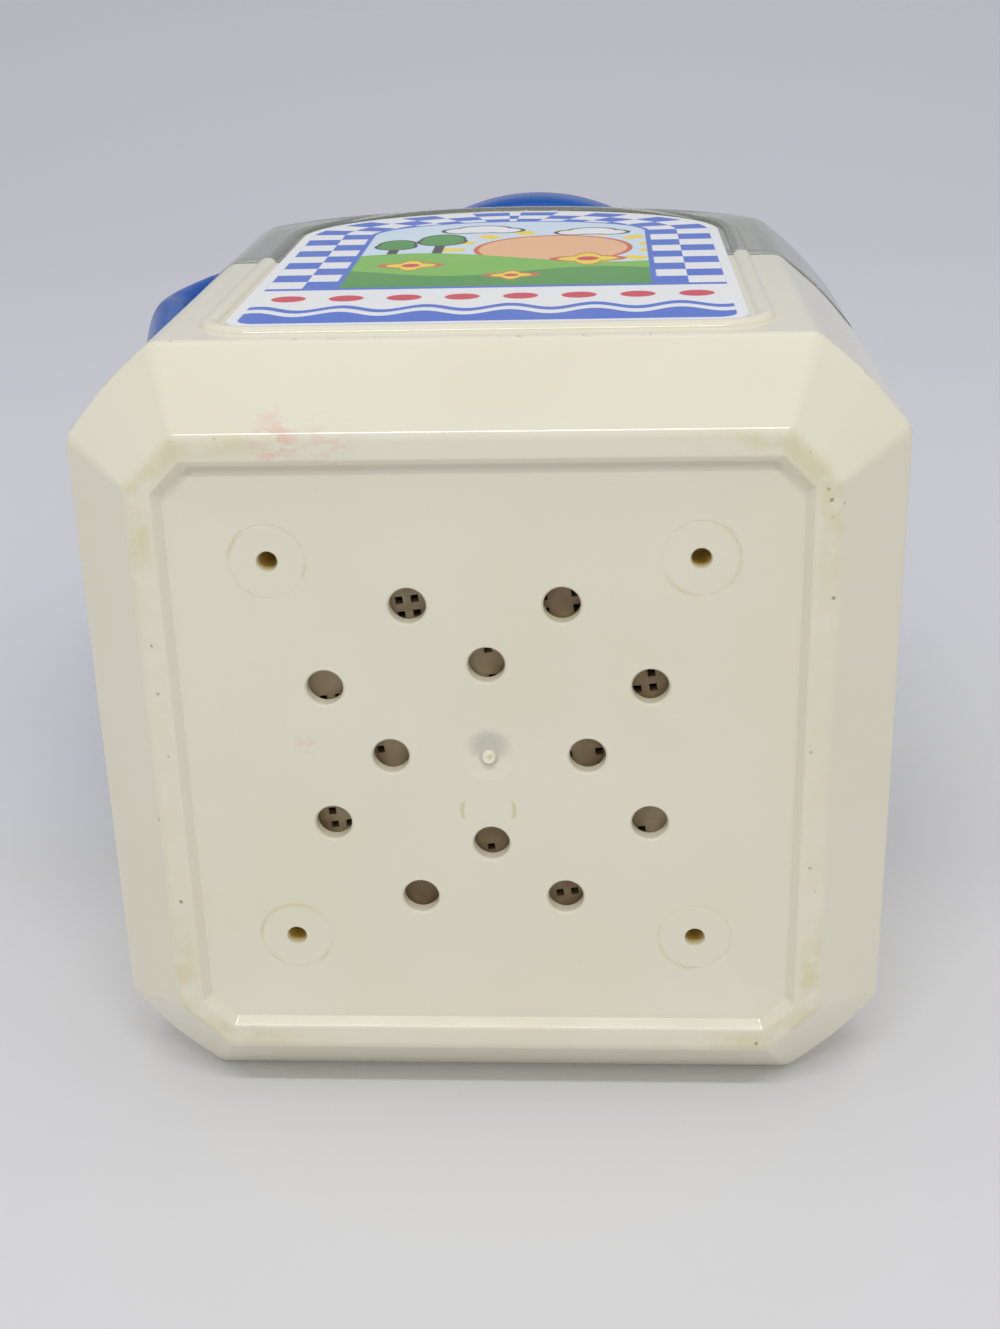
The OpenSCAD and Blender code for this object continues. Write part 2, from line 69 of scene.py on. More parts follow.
class Sock:
    def __init__(self, tree, socket):
        self.tree = tree
        self.socket = socket

    def make(self, kind, settings=None, inputs=None, out=0):
        node = self.tree.nodes.new(kind)
        for key, value in (settings or {}).items():
            setattr(node, key, value)
        for key, value in (inputs or {}).items():
            if isinstance(value, Sock):
                self.tree.links.new(value.socket, node.inputs[key])
            else:
                node.inputs[key].default_value = value
        return Sock(self.tree, node.outputs[out])

    def calc(self, operation, *others):
        values = dict(enumerate((self,) + others))
        return self.make("ShaderNodeMath", {"operation": operation}, values)

    def __add__(self, other):
        return self.calc("ADD", other)

    __radd__ = __add__

    def __sub__(self, other):
        return self.calc("SUBTRACT", other)

    def __rsub__(self, other):
        return self.make("ShaderNodeMath", {"operation": "SUBTRACT"}, {0: other, 1: self})

    def __mul__(self, other):
        return self.calc("MULTIPLY", other)

    __rmul__ = __mul__

    def __truediv__(self, other):
        return self.calc("DIVIDE", other)

    def __pow__(self, other):
        return self.calc("POWER", other)

    def __abs__(self):
        return self.calc("ABSOLUTE")

    def step(self, low, high):      # 0 at low, 1 at high, smooth between
        return self.make("ShaderNodeMapRange", {"interpolation_type": "SMOOTHSTEP"},
                         {"Value": self, "From Min": low, "From Max": high})

    def tint(self, under, over):    # under where self is 0, over where it is 1
        return self.make("ShaderNodeMix", {"data_type": "RGBA"}, {0: self, 6: under, 7: over}, out=2)


def least(*values):
    low = values[0]
    for value in values[1:]:
        low = low.calc("MINIMUM", value)
    return low


def most(*values):
    high = values[0]
    for value in values[1:]:
        high = high.calc("MAXIMUM", value)
    return high


def ink(r, g, b):                   # a screen colour as linear light
    def one(c):
        c /= 255
        return c / 12.92 if c <= 0.04045 else ((c + 0.055) / 1.055) ** 2.4
    return (one(r), one(g), one(b), 1.0)


class Finish:                       # a material being painted, with its place on the part in mm
    def __init__(self, name, fixed):
        self.mat = bpy.data.materials.new(name)
        self.mat.use_nodes = True
        self.tree = self.mat.node_tree
        self.shader = self.tree.nodes["Principled BSDF"]
        for key, value in fixed.items():
            self.shader.inputs[key].default_value = value
        metres = Sock(self.tree, self.tree.nodes.new("ShaderNodeTexCoord").outputs["Object"])
        self.place = metres.make("ShaderNodeVectorMath", {"operation": "SCALE"}, {0: metres, "Scale": 1000})
        split = self.place.make("ShaderNodeSeparateXYZ", None, {0: self.place})
        self.x, self.y, self.z = [Sock(self.tree, o) for o in split.socket.node.outputs]

    def noise(self, scale, detail=2.0, rough=0.5, stretch=(1, 1, 1)):
        at = self.place
        if stretch != (1, 1, 1):
            at = at.make("ShaderNodeVectorMath", {"operation": "MULTIPLY"}, {0: at, 1: stretch})
        return at.make("ShaderNodeTexNoise", None,
                       {"Vector": at, "Scale": scale, "Detail": detail, "Roughness": rough})

    def spots(self, scale):         # distance to the nearest of many scattered points
        return self.place.make("ShaderNodeTexVoronoi", None, {"Vector": self.place, "Scale": scale})

    def away(self, x, y, z=None):   # distance from a point, or from an upright line
        square = (self.x - x) ** 2 + (self.y - y) ** 2
        if z is not None:
            square = square + (self.z - z) ** 2
        return square.calc("SQRT")

    def bump(self, height, distance, strength=1.0):
        return height.make("ShaderNodeBump", None,
                           {"Strength": strength, "Distance": distance, "Height": height})

    def feed(self, **links):
        for key, sock in links.items():
            self.tree.links.new(sock.socket, self.shader.inputs[key.replace("_", " ")])
        return self.mat


# mesh helpers, in mm

def newPiece(name, points, faces):
    mesh = bpy.data.meshes.new(name)
    mesh.from_pydata([tuple(c * mm for c in p) for p in points], [], faces)
    mesh.validate()
    piece = bpy.data.objects.new(name, mesh)
    scene.collection.objects.link(piece)
    return piece


def bridge(count, length, closed):  # quads between rings of the same length
    rows = range(count if closed else count - 1)
    return [(r * length + k, r * length + (k + 1) % length,
             (r + 1) % count * length + (k + 1) % length, (r + 1) % count * length + k)
            for r in rows for k in range(length)]


def stacked(name, rings, flip=False):   # a solid from rings of points, with flat ends
    n = len(rings[0])
    faces = bridge(len(rings), n, False)
    faces += [tuple(reversed(range(n))), tuple(range((len(rings) - 1) * n, len(rings) * n))]
    if flip:
        faces = [tuple(reversed(f)) for f in faces]
    return newPiece(name, [p for ring in rings for p in ring], faces)


def roundPath(corners, steps=5):    # (a, b, radius) corners to a line with fillets
    line = []
    for i, (a, b, radius) in enumerate(corners):
        here = Vector((a, b))
        if radius == 0 or i in (0, len(corners) - 1):
            line.append(here)
            continue
        back = Vector(corners[i - 1][:2]) - here
        ahead = Vector(corners[i + 1][:2]) - here
        half = back.angle(ahead) / 2
        run = min(radius / math.tan(half), 0.49 * back.length, 0.49 * ahead.length)
        back.normalize()
        ahead.normalize()
        middle = here + (back + ahead).normalized() * run / math.cos(half)
        first, last = here + back * run - middle, here + ahead * run - middle
        turn = first.angle_signed(last)
        for k in range(steps + 1):
            line.append(middle + Matrix.Rotation(-turn * k / steps, 2) @ first)
    return [tuple(p) for p in line]


def lathe(name, profile, sides=96): # closed (radius, z) outline turned round the axis
    ring = [i for i, p in enumerate(profile) if p[0] > 1e-6]
    points, start = [], {}
    for i, (r, z) in enumerate(profile):
        start[i] = len(points)
        if i in ring:
            for k in range(sides):
                a = 2 * math.pi * k / sides
                points.append((r * math.cos(a), r * math.sin(a), z))
        else:
            points.append((0, 0, z))
    faces = []
    for i in range(len(profile)):
        j = (i + 1) % len(profile)
        for k in range(sides):
            n = (k + 1) % sides
            if i in ring and j in ring:
                faces.append((start[i] + k, start[i] + n, start[j] + n, start[j] + k))
            elif i in ring:
                faces.append((start[i] + k, start[i] + n, start[j]))
            elif j in ring:
                faces.append((start[i], start[j] + n, start[j] + k))
    return newPiece(name, points, faces)


def baked(piece):                   # modifiers into a plain mesh
    plan = bpy.context.evaluated_depsgraph_get()
    mesh = bpy.data.meshes.new_from_object(piece.evaluated_get(plan))
    piece.modifiers.clear()
    old, piece.data = piece.data, mesh
    bpy.data.meshes.remove(old)
    return piece


def shaped(piece, other, operation, solver="EXACT"):
    tool = piece.modifiers.new("shape", "BOOLEAN")
    tool.object, tool.operation, tool.solver = other, operation, solver
    baked(piece)
    dropped(other)
    return piece


def dropped(*pieces):
    for piece in pieces:
        mesh = piece.data
        bpy.data.objects.remove(piece)
        if mesh.users == 0:
            bpy.data.meshes.remove(mesh)


def joined(first, *others):
    with bpy.context.temp_override(active_object=first, selected_editable_objects=[first, *others]):
        bpy.ops.object.join()
    return first


def smoothed(piece, angle=35, weighted=True):
    piece.data.shade_smooth()
    piece.data.set_sharp_from_angle(angle=math.radians(angle))
    if weighted:                    # flats stay flat beside their fillets
        tool = piece.modifiers.new("normals", "WEIGHTED_NORMAL")
        tool.keep_sharp = True
        baked(piece)
    return piece


def painted(piece, mat):
    piece.data.materials.clear()
    piece.data.materials.append(mat)


def dressed(piece, mat, body, node):
    painted(piece, mat)
    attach(piece, body)
    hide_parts(node)
    return piece


# geometry trees

class Tree:
    def __init__(self, name, inputs):
        self.tree = bpy.data.node_groups.new(name, "GeometryNodeTree")
        face = self.tree.interface
        face.new_socket("Geometry", in_out="OUTPUT", socket_type="NodeSocketGeometry")
        face.new_socket("Geometry", in_out="INPUT", socket_type="NodeSocketGeometry")
        self.ids = {}
        for key, kind in inputs.items():
            self.ids[key] = face.new_socket(key, in_out="INPUT", socket_type=kind).identifier
        self.ids["Material"] = face.new_socket(
            "Material", in_out="INPUT", socket_type="NodeSocketMaterial").identifier
        given = self.tree.nodes.new("NodeGroupInput")
        self.given = {o.name: Sock(self.tree, o) for o in given.outputs if o.name}

    def close(self, sock):
        sock = sock.make("GeometryNodeRealizeInstances", None, {0: sock})
        sock = sock.make("GeometryNodeSetMaterial", None,
                         {"Geometry": sock, "Material": self.given["Material"]})
        end = self.tree.nodes.new("NodeGroupOutput")
        self.tree.links.new(sock.socket, end.inputs[0])
        return self

    def run(self, piece, values):
        tool = piece.modifiers.new("tree", "NODES")
        tool.node_group = self.tree
        for key, value in values.items():
            tool[self.ids[key]] = value
        return baked(piece)


def ringTree():                     # copies of one shape, evenly round the axis
    tree = Tree("copiesOnRing", {"Radius": "NodeSocketFloat", "Count": "NodeSocketInt",
                                 "Turn": "NodeSocketFloat"})
    g = tree.given
    ring = g["Radius"].make("GeometryNodeMeshCircle", None, {"Vertices": g["Count"], "Radius": g["Radius"]})
    spin = g["Turn"].make("ShaderNodeCombineXYZ", None, {"Z": g["Turn"]})
    ring = ring.make("GeometryNodeTransform", None, {"Geometry": ring, "Rotation": spin})
    return tree.close(ring.make("GeometryNodeInstanceOnPoints", None,
                                {"Points": ring, "Instance": g["Geometry"]}))


def latticeTree():                  # square prisms on the cells of a turned lattice
    tree = Tree("pitsOnLattice", {"Pitch": "NodeSocketFloat", "Turn": "NodeSocketFloat",
                                  "Width": "NodeSocketFloat", "Depth": "NodeSocketFloat",
                                  "Shift": "NodeSocketVector"})
    g = tree.given
    cell = g["Pitch"].make("GeometryNodeInputPosition")
    cell = cell.make("ShaderNodeVectorMath", {"operation": "SCALE"}, {0: cell, "Scale": g["Pitch"]})
    cell = cell.make("ShaderNodeVectorMath", {"operation": "ADD"}, {0: cell, 1: g["Shift"]})
    spot = cell.make("GeometryNodeSetPosition", None, {"Geometry": g["Geometry"], "Position": cell})
    size = g["Width"].make("ShaderNodeCombineXYZ", None, {"X": g["Width"], "Y": g["Width"], "Z": g["Depth"]})
    prism = size.make("GeometryNodeMeshCube", None, {"Size": size})
    pits = spot.make("GeometryNodeInstanceOnPoints", None, {"Points": spot, "Instance": prism})
    spin = g["Turn"].make("ShaderNodeCombineXYZ", None, {"Z": g["Turn"]})
    return tree.close(pits.make("GeometryNodeTransform", None, {"Geometry": pits, "Rotation": spin}))


def ribTree():                      # an oval bar along a line, flat side to the wall behind it
    tree = Tree("ribOnPath", {"Width": "NodeSocketFloat", "Height": "NodeSocketFloat",
                              "Sides": "NodeSocketInt"})
    g = tree.given
    path = g["Width"].make("GeometryNodeMeshToCurve", None, {"Mesh": g["Geometry"]})
    path = path.make("GeometryNodeSetCurveNormal", {"mode": "FREE"}, {"Curve": path, "Normal": (0, -1, 0)})
    oval = path.make("GeometryNodeCurvePrimitiveCircle", None, {"Resolution": g["Sides"], "Radius": 1.0})
    size = g["Width"].make("ShaderNodeCombineXYZ", None, {"X": g["Height"], "Y": g["Width"] / 2, "Z": 1.0})
    oval = oval.make("GeometryNodeTransform", None, {"Geometry": oval, "Scale": size})
    return tree.close(path.make("GeometryNodeCurveToMesh", None,
                                {"Curve": path, "Profile Curve": oval, "Fill Caps": True}))


copiesOnRing, pitsOnLattice, ribOnPath = ringTree(), latticeTree(), ribTree()


# camera, where the photograph was taken from

camera = {"eye": (15.22, -101.57, -208.74), "turn": (0.39705264, 0.05702651, -0.01568232),
          "focal": 1776.46, "tall": 1329, "sensor": 36.0}


def setCamera():
    turn = Vector(camera["turn"])
    rows = Matrix.Rotation(turn.length, 3, turn.normalized())
    look = Matrix((rows[0], -rows[1], -rows[2])).transposed()
    data = bpy.data.cameras.new("camera")
    data.sensor_width = camera["sensor"]
    data.lens = camera["focal"] * camera["sensor"] / camera["tall"]
    data.clip_start, data.clip_end = 0.01, 50
    eye = bpy.data.objects.new("camera", data)
    eye.matrix_world = Matrix.Translation(Vector(camera["eye"]) * mm) @ look.to_4x4()
    scene.collection.objects.link(eye)
    scene.camera = eye


setCamera()
print("camera set")


# the body's eight-sided outline

body = {"half": 54.0, "cut": 12.2, "leastCut": 0.6, "edge": 3.0, "innerEdge": 0.6, "edgeSteps": 4,
        "bow": 0.7, "leastBow": 0.02, "bowRound": 40.0, "bevel": 9.8, "bead": 3.1, "trim": 0.6}
facet = (2 * body["half"] - body["cut"]) / math.sqrt(2)
smallCut = 2 - math.sqrt(2)


def octRing(inset, z):              # the corner facets bow out a little above the bevel
    b = body
    late = min(max((inset - b["bevel"]) / b["bead"], 0), 1)
    soft = max(1 - inset / b["bevel"], 0)
    cut = max(b["cut"] - smallCut * inset - b["trim"] * late, b["leastCut"])
    edge = b["innerEdge"] + (b["edge"] - b["innerEdge"]) * max(1 - inset / (b["bevel"] + b["bead"]), 0)
    h = b["half"] - inset
    f = h - cut
    m = (h + f) / 2 + max(b["bow"] * soft, b["leastBow"]) * math.sqrt(0.5)
    quarter = [(h, -f, edge), (h, f, edge), (m, m, b["bowRound"])]
    loop = []
    for turn in range(4):
        for x, y, r in quarter:
            loop.append((*((x, y), (-y, x), (-x, -y), (y, -x))[turn], r))
    ring = []
    for i, spot in enumerate(loop):
        ring += roundPath([loop[i - 1], spot, loop[(i + 1) % len(loop)]], b["edgeSteps"])[1:-1]
    return [(x, y, z) for x, y in ring]


# raised frame round the label, as a line on the front flat

frameRib = {"half": 36.2, "low": 14.7, "corner": 6.3, "spring": 87.0, "rise": 26.0,
            "width": 2.6, "height": 0.9, "sink": 0.15, "sides": 20,
            "knee": 76.0, "splitLow": 64.98, "splitHigh": 65.12}


def archLine():                     # from the seam on the right, up and over to the left
    r = frameRib
    over = [(r["half"] * math.cos(a), r["spring"] + r["rise"] * math.sin(a))
            for a in np.linspace(0, math.pi, 65)]
    w, low, knee = r["half"], r["splitHigh"], r["knee"]
    return [(w, low), (w, knee)] + over + [(-w, knee), (-w, low)]


def footLine():                     # from the seam on the left, down, under the label and up again
    r = frameRib
    w, low, high = r["half"], r["low"], r["splitLow"]
    return roundPath([(-w, high, 0), (-w, low, r["corner"]), (w, low, r["corner"]), (w, high, 0)], 10)


def frameBar(name, line):
    r = frameRib
    y = r["sink"] - body["half"]
    bar = newPiece(name, [(x, y, z) for x, z in line], [])
    bar.data.edges.add(len(line) - 1)
    bar.data.edges.foreach_set("vertices", [k for i in range(len(line) - 1) for k in (i, i + 1)])
    return ribOnPath.run(bar, {"Width": r["width"] * mm, "Height": r["height"] * mm, "Sides": r["sides"]})


# cream cup, the lower half of the bottle

cup = {"plate": 2.0, "plateTop": 4.6, "dish": 25.0, "wallFoot": 14.0, "wallTop": 1.3, "foot": 12.9,
       "bead": 9.8, "bevelTop": 10.0, "top": 65.0, "wall": 2.4,
       "kneeZ": 11.12, "kneeIn": 10.19, "flatIn": 12.5,
       "postRing": 38.8, "postRadius": 4.0, "postLow": 3.6, "postTop": 57.6, "pegHole": 1.65, "pegDepth": 11.0}
soundHole = {"radius": 2.4, "ring": 23.4, "angle": 25, "inner": 13.0, "lip": 0.35, "lipOut": 0.3,
             "deep": 2.0, "flare": 0.7, "top": 5.4}
pilotHole = {"radius": 1.25, "lip": 0.3, "lipOut": 0.2, "draft": 0.1, "top": 8.0,
             "sinkRing": 4.9, "sinkHalf": 0.9, "sink": 0.06}
gate = {"dimple": 3.6, "dimpleDeep": 0.3, "dimpleUp": 0.06,
        "tip": 0.78, "foot": 0.95, "high": 0.66, "root": 0.6}


def cupShell():
    c = cup
    sag, run = c["plate"] - c["wallTop"], c["dish"] - c["wallFoot"]
    plate = [(c["dish"] - run * t, c["plate"] - sag * t * t, 0) for t in np.linspace(0, 1, 9)[:-1]]
    profile = roundPath(plate + [
        (c["wallFoot"], c["wallTop"], 0.2), (c["foot"], 0, 0.6), (c["bead"], 0, 2.0), (0, c["bevelTop"], 1.5),
        (0, c["top"], 0.5), (c["wall"], c["top"], 0.4), (c["wall"], c["kneeZ"], 0.8),
        (c["kneeIn"], c["plateTop"], 0.8), (c["flatIn"], c["plateTop"], 0)])
    return stacked("cream_cup", [octRing(d, z) for d, z in profile])


def onRing(name, profile, radius, count, turn, sides):
    return copiesOnRing.run(lathe(name, profile, sides), {
        "Radius": radius * mm, "Count": count, "Turn": math.radians(turn)})


def makeCup():
    c, h, p, g = cup, soundHole, pilotHole, gate
    piece = cupShell()
    pegLow = c["postTop"] - c["pegDepth"]
    post = [(0, c["postLow"]), (c["postRadius"], c["postLow"]), (c["postRadius"], c["postTop"]),
            (c["pegHole"], c["postTop"]), (c["pegHole"], pegLow), (0, pegLow)]
    shaped(piece, onRing("posts", post, c["postRing"], 4, 45, 48), "UNION")
    shaped(piece, frameBar("frame", footLine()), "UNION")
    face = c["plate"]
    out = face - 1                  # cutters reach this far out of the plate
    r, wide = h["radius"], h["radius"] + h["flare"]
    lip = roundPath([(r + 1.6, out, 0), (r + h["lipOut"], face - 0.02, 0), (r, face + h["lip"], 0.4),
                     (r, face + h["deep"], 0)], 4)
    hole = [(0, out)] + lip + [(wide, c["plateTop"]), (wide, h["top"]), (0, h["top"])]  # flared on the inside
    for radius, turn in ((h["inner"], 0), (h["ring"], h["angle"]), (h["ring"], -h["angle"])):
        shaped(piece, onRing("holes", hole, radius, 4, turn, 48), "DIFFERENCE")
    r = p["radius"]
    pilot = [(0, out), (r + 0.9, out), (r + p["lipOut"], face - 0.02), (r, face + p["lip"]),
             (r - p["draft"], p["top"]), (0, p["top"])]
    shaped(piece, onRing("pilots", pilot, c["postRing"], 4, 45, 32), "DIFFERENCE")
    r, w = p["sinkRing"], p["sinkHalf"]     # faint ring pressed round each pilot hole
    groove = [(r - w, face - 0.5), (r + w, face - 0.5), (r, face + p["sink"])]
    shaped(piece, onRing("sinks", groove, c["postRing"], 4, 45, 64), "DIFFERENCE")
    r, deep, low = g["dimple"], g["dimpleDeep"], face - g["dimpleUp"]
    bowl = [(r * math.cos(a), low + deep * math.sin(a)) for a in np.linspace(-0.2, math.pi / 2, 12)[:-1]]
    shaped(piece, lathe("dimple", [(0, out), (r, out)] + bowl + [(0, low + deep)], 48), "DIFFERENCE")
    low, high = face - g["root"], face + g["root"]
    nub = [(0.1, low, 0), (g["tip"], face - g["high"], 0.25), (g["foot"], high, 0), (0.1, high, 0)]
    shaped(piece, lathe("nub", [(0, low)] + roundPath(nub, 4) + [(0, high)], 28), "UNION")
    return smoothed(piece, 40)


# aged cream plastic: yellowed, stained along the foot, a few smudges; painted shade in the recess corner, in
# the pilot holes and round the nub, and a painted highlight on the nub

cream = {"fresh": ink(240, 236, 215), "aged": ink(231, 222, 188), "stain": ink(216, 202, 130),
         "speck": ink(140, 112, 76), "smudge": ink(240, 158, 153), "grey": ink(158, 158, 156),
         "oliveShade": ink(226, 200, 120), "dirtAndShade": ink(166, 154, 124), "nub": ink(250, 247, 228), "rough": 0.13}
smudges = ((-25.0, -43.4, 0.6, 4.2, 0.5), (-18.5, -43.0, 0.4, 5.0, 0.22),   # x, y, z, size, strength
           (-26.0, -46.2, 3.4, 2.2, 0.4), (-24.0, -2.2, 2.0, 2.4, 0.25))


def creamFinish(name, wornAndShaded):
    f = Finish(name, {"Specular IOR Level": 0.6})
    cloud = f.noise(0.035, 3).step(0.35, 0.7)
    colour = (cloud * 0.2).tint(cream["fresh"], cream["aged"])
    fine = f.noise(2.2, 3)
    rough = f.noise(0.09, 2) * 0.08 + (cream["rough"] - 0.04)
    if wornAndShaded:
        ax, ay = abs(f.x), abs(f.y)
        inset = least(body["half"] - most(ax, ay), facet - (ax + ay) * math.sqrt(0.5))
        low = 1 - f.z.step(9.5, 11.5)
        patch = f.noise(0.16, 4, 0.6)
        corner = (ax + ay).step(62, 78)
        rim = inset.step(8.8, 10.2) * (1 - inset.step(11.4, 13.4)) * low    # the foot bead
        stain = rim * (corner * 0.7 + (ax - ay).step(0, 12) * 0.18) * patch.step(0.36, 0.6)
        colour = (stain * 0.5).tint(colour, cream["stain"])
        # painted shade with a dirt tint: a brown line at the foot of the recess wall, on the -y side only,
        # where that wall faces away from the light
        creviceDirtAndShade = (1 - abs(inset - 14.1).step(0.1, 0.75)) * low * (1 - f.y.step(-42, -34))
        colour = (creviceDirtAndShade * 0.3).tint(colour, cream["dirtAndShade"])
        dots = 1 - f.spots(0.5).step(0.08, 0.2)
        speck = dots * rim * most((ax - ay).step(-4, 10), corner) * f.noise(0.31, 2).step(0.53, 0.6)
        colour = (speck * 0.7).tint(colour, cream["speck"])
        grime = f.noise(0.5, 3, 0.7, (1, 1, 0.2)).step(0.54, 0.68)
        seam = (1 - abs(f.z - 10.3).step(0.1, 0.4)) * grime     # upper edge of the bevel
        colour = (seam * 0.5).tint(colour, cream["speck"])
        streak = f.noise(0.6, 3, 0.6, (0.7, 1.5, 1.5)).step(0.42, 0.6)
        for x, y, z, wide, strength in smudges:
            mark = (1 - f.away(x, y, z).step(0.1 * wide, wide)) * streak
            colour = (mark * strength).tint(colour, cream["smudge"])
        centre = f.away(0, 0)       # the nub, with painted shade round it: a painted shadow in the dimple on its -y side and a dark painted ring at its foot
        haloShadow = (1 - f.away(0, -1.4).step(1.0, 3.4)) * (1 - f.y.step(-0.8, 1.0)) * low
        footShade = (1 - abs(centre - 1.1).step(0.1, 0.5)) * low
        colour = (most(haloShadow, footShade) * 0.4).tint(colour, cream["grey"])
        # painted highlight: the nub's top is painted lighter than the plate round it
        colour = ((1 - centre.step(0.85, 1.0)) * low).tint(colour, cream["nub"])
        arc = (1 - abs(f.away(-0.3, 7.9) - 3.5).step(0.1, 0.4)) * (1 - abs(f.y - 7.9).step(0.9, 1.6)) * low
        colour = (arc * 0.6).tint(colour, cream["stain"])
        tip = (1 - f.away(0.15, -0.3).step(0.2, 0.6)) * (1 - f.z.step(1.6, 1.9))
        colour = (tip * 0.6).tint(colour, cream["stain"])
        post = cup["postRing"] * math.sqrt(0.5)     # rings round the pilot holes, and painted shade deep inside them
        posts = ((ax - post) ** 2 + (ay - post) ** 2).calc("SQRT")
        ring = (1 - abs(posts - pilotHole["sinkRing"]).step(0.1, 0.5)) * low * patch.step(0.45, 0.62)
        colour = (ring * 0.3).tint(colour, cream["stain"])
        # painted shade: the walls deep inside each pilot hole are painted a darker olive than the cream
        deep = (1 - posts.step(1.22, 1.5)) * f.z.step(2.2, 3.4) * low
        colour = deep.tint(colour, cream["oliveShade"])
        rough = rough + stain * 0.15
    skin = f.bump(fine, 0.00002, 0.35)
    return f.feed(Base_Color=colour, Roughness=rough, Normal=skin)


creamWornAndShaded = creamFinish("creamWornAndShaded", True)
creamPlain = creamFinish("creamPlain", False)
dressed(makeCup(), creamWornAndShaded, "bottle", "base_cup")
painted(frame["nodes"]["inner_floor"], creamPlain)
print("cup made")


# clear shoulder and neck

clearTop = {"seat": 65.06, "wall": 2.2, "domeX": 40.39, "domeZ": 90.0, "domeR": 30.8, "sweepR": 60.0,
            "neck": 35.5, "mouth": 216.0, "ledge": 38.5, "ledgeLow": 195.0, "ledgeHigh": 198.0,
            "spigotOut": 2.5, "spigotIn": 4.3, "spigotLow": 59.8, "spigotTop": 66.8, "edge": 0.78, "arch": 2.4,
            "wallLow": 70.0, "outerRise": (76.0, 82.0, 87.0), "innerFall": (82.0, 74.0), "neckLow": 170.0,
            "edgeSpan": 2.4, "rivetY": 8.0, "rivetZ": 102.64, "rivetHole": 2.55}


def roundMax(a, b, k):
    return np.minimum(np.maximum(a, b), -k) + np.hypot(np.maximum(a + k, 0), np.maximum(b + k, 0))


def topSpins():                     # closer together at the body's upright edges
    corner = math.degrees(math.atan2(body["half"] - body["cut"], body["half"]))
    span = clearTop["edgeSpan"]
    spins = []
    for base in range(0, 360, 90):
        marks = [0, corner - span, corner + span, 90 - span - corner, 90 + span - corner, 90]
        for i, count in enumerate((18, 12, 5, 12, 18)):
            spins += [base + marks[i] + (marks[i + 1] - marks[i]) * k / count for k in range(count)]
    return np.radians(spins)


def topRing(spins, radius, inset, z):
    flats = np.cos((spins + math.pi / 4) % (math.pi / 2) - math.pi / 4)
    corners = np.cos(spins % (math.pi / 2) - math.pi / 4)
    along = np.sin(spins % (math.pi / 2) - math.pi / 4) / (body["cut"] * math.sqrt(0.5))
    low, high = np.full_like(spins, 5.0), np.full_like(spins, 90.0)
    for _ in range(40):
        r = (low + high) / 2
        bow = body["bow"] * np.maximum(1 - (r * along) ** 2, 0)
        sides = roundMax(r * flats - body["half"] + inset, r * corners - facet - bow + inset, clearTop["edge"])
        out = roundMax(sides, r - radius, clearTop["arch"]) > 0
        high, low = np.where(out, r, high), np.where(out, low, r)
    return [(r * math.cos(a), r * math.sin(a), z) for r, a in zip(low, spins)]


def topRound(inset):                # (radius, z) up the round form, drawn in by inset
    t = clearTop
    sweepX = t["neck"] + t["sweepR"]
    rise = math.sqrt((t["domeR"] + t["sweepR"]) ** 2 - (sweepX - t["domeX"]) ** 2)
    meet = math.atan2(rise, sweepX - t["domeX"])
    r, big = t["domeR"] - inset, t["sweepR"] + inset
    dome = [(t["domeX"] + r * math.cos(a), t["domeZ"] + r * math.sin(a)) for a in np.linspace(0, meet, 30)]
    sweep = [(sweepX - big * math.cos(a), t["domeZ"] + rise - big * math.sin(a))
             for a in np.linspace(meet, 0, 26)[1:]]
    return dome + sweep


def makeTop():
    t = clearTop
    spins = topSpins()
    wide = t["domeX"] + t["domeR"]
    rings = [topRing(spins, wide, d, z) for d, z in roundPath(
        [(t["spigotOut"], t["seat"], 0), (0, t["seat"], 0.4), (0, t["wallLow"], 0)], 4)]
    rings += [topRing(spins, wide, 0, z) for z in t["outerRise"]]
    rings += [topRing(spins, r, 0, z) for r, z in topRound(0)]
    neck, bore, top = t["neck"], t["neck"] - t["wall"], t["mouth"]
    lip = roundPath([(neck, t["neckLow"], 0), (neck, t["ledgeLow"], 0.6), (t["ledge"], t["ledgeLow"], 0.5),
                     (t["ledge"], t["ledgeHigh"], 0.5), (neck, t["ledgeHigh"], 0.4), (neck, top, 0.8),
                     (bore, top, 0.8), (bore, t["neckLow"], 0)], 4)
    rings += [topRing(spins, r, 0, z) for r, z in lip]
    rings += [topRing(spins, r, t["wall"], z) for r, z in reversed(topRound(t["wall"]))]
    rings += [topRing(spins, wide, t["wall"], z) for z in t["innerFall"]]
    rings += [topRing(spins, wide, d, z) for d, z in roundPath(
        [(t["wall"], t["wallLow"], 0), (t["wall"], t["spigotTop"], 0.6), (t["spigotIn"], t["spigotTop"], 0.6),
         (t["spigotIn"], t["spigotLow"], 0.5), (t["spigotOut"], t["spigotLow"], 0.5),
         (t["spigotOut"], t["seat"] - 0.5, 0)], 4)]
    points = [p for ring in rings for p in ring]
    piece = newPiece("clear_shoulder", points, bridge(len(rings), len(spins), True))
    shaped(piece, frameBar("arch", archLine()), "UNION", "MANIFOLD")
    for side in (-1, 1):
        drill = lathe("drill", [(0, -2), (t["rivetHole"], -2), (t["rivetHole"], 4), (0, 4)], 32)
        spot = Vector((-body["half"], side * t["rivetY"], t["rivetZ"])) * mm
        drill.data.transform(Matrix.Translation(spot) @ Matrix.Rotation(math.pi / 2, 4, "Y"))
        shaped(piece, drill, "DIFFERENCE", "MANIFOLD")
    return smoothed(piece, 40, False)


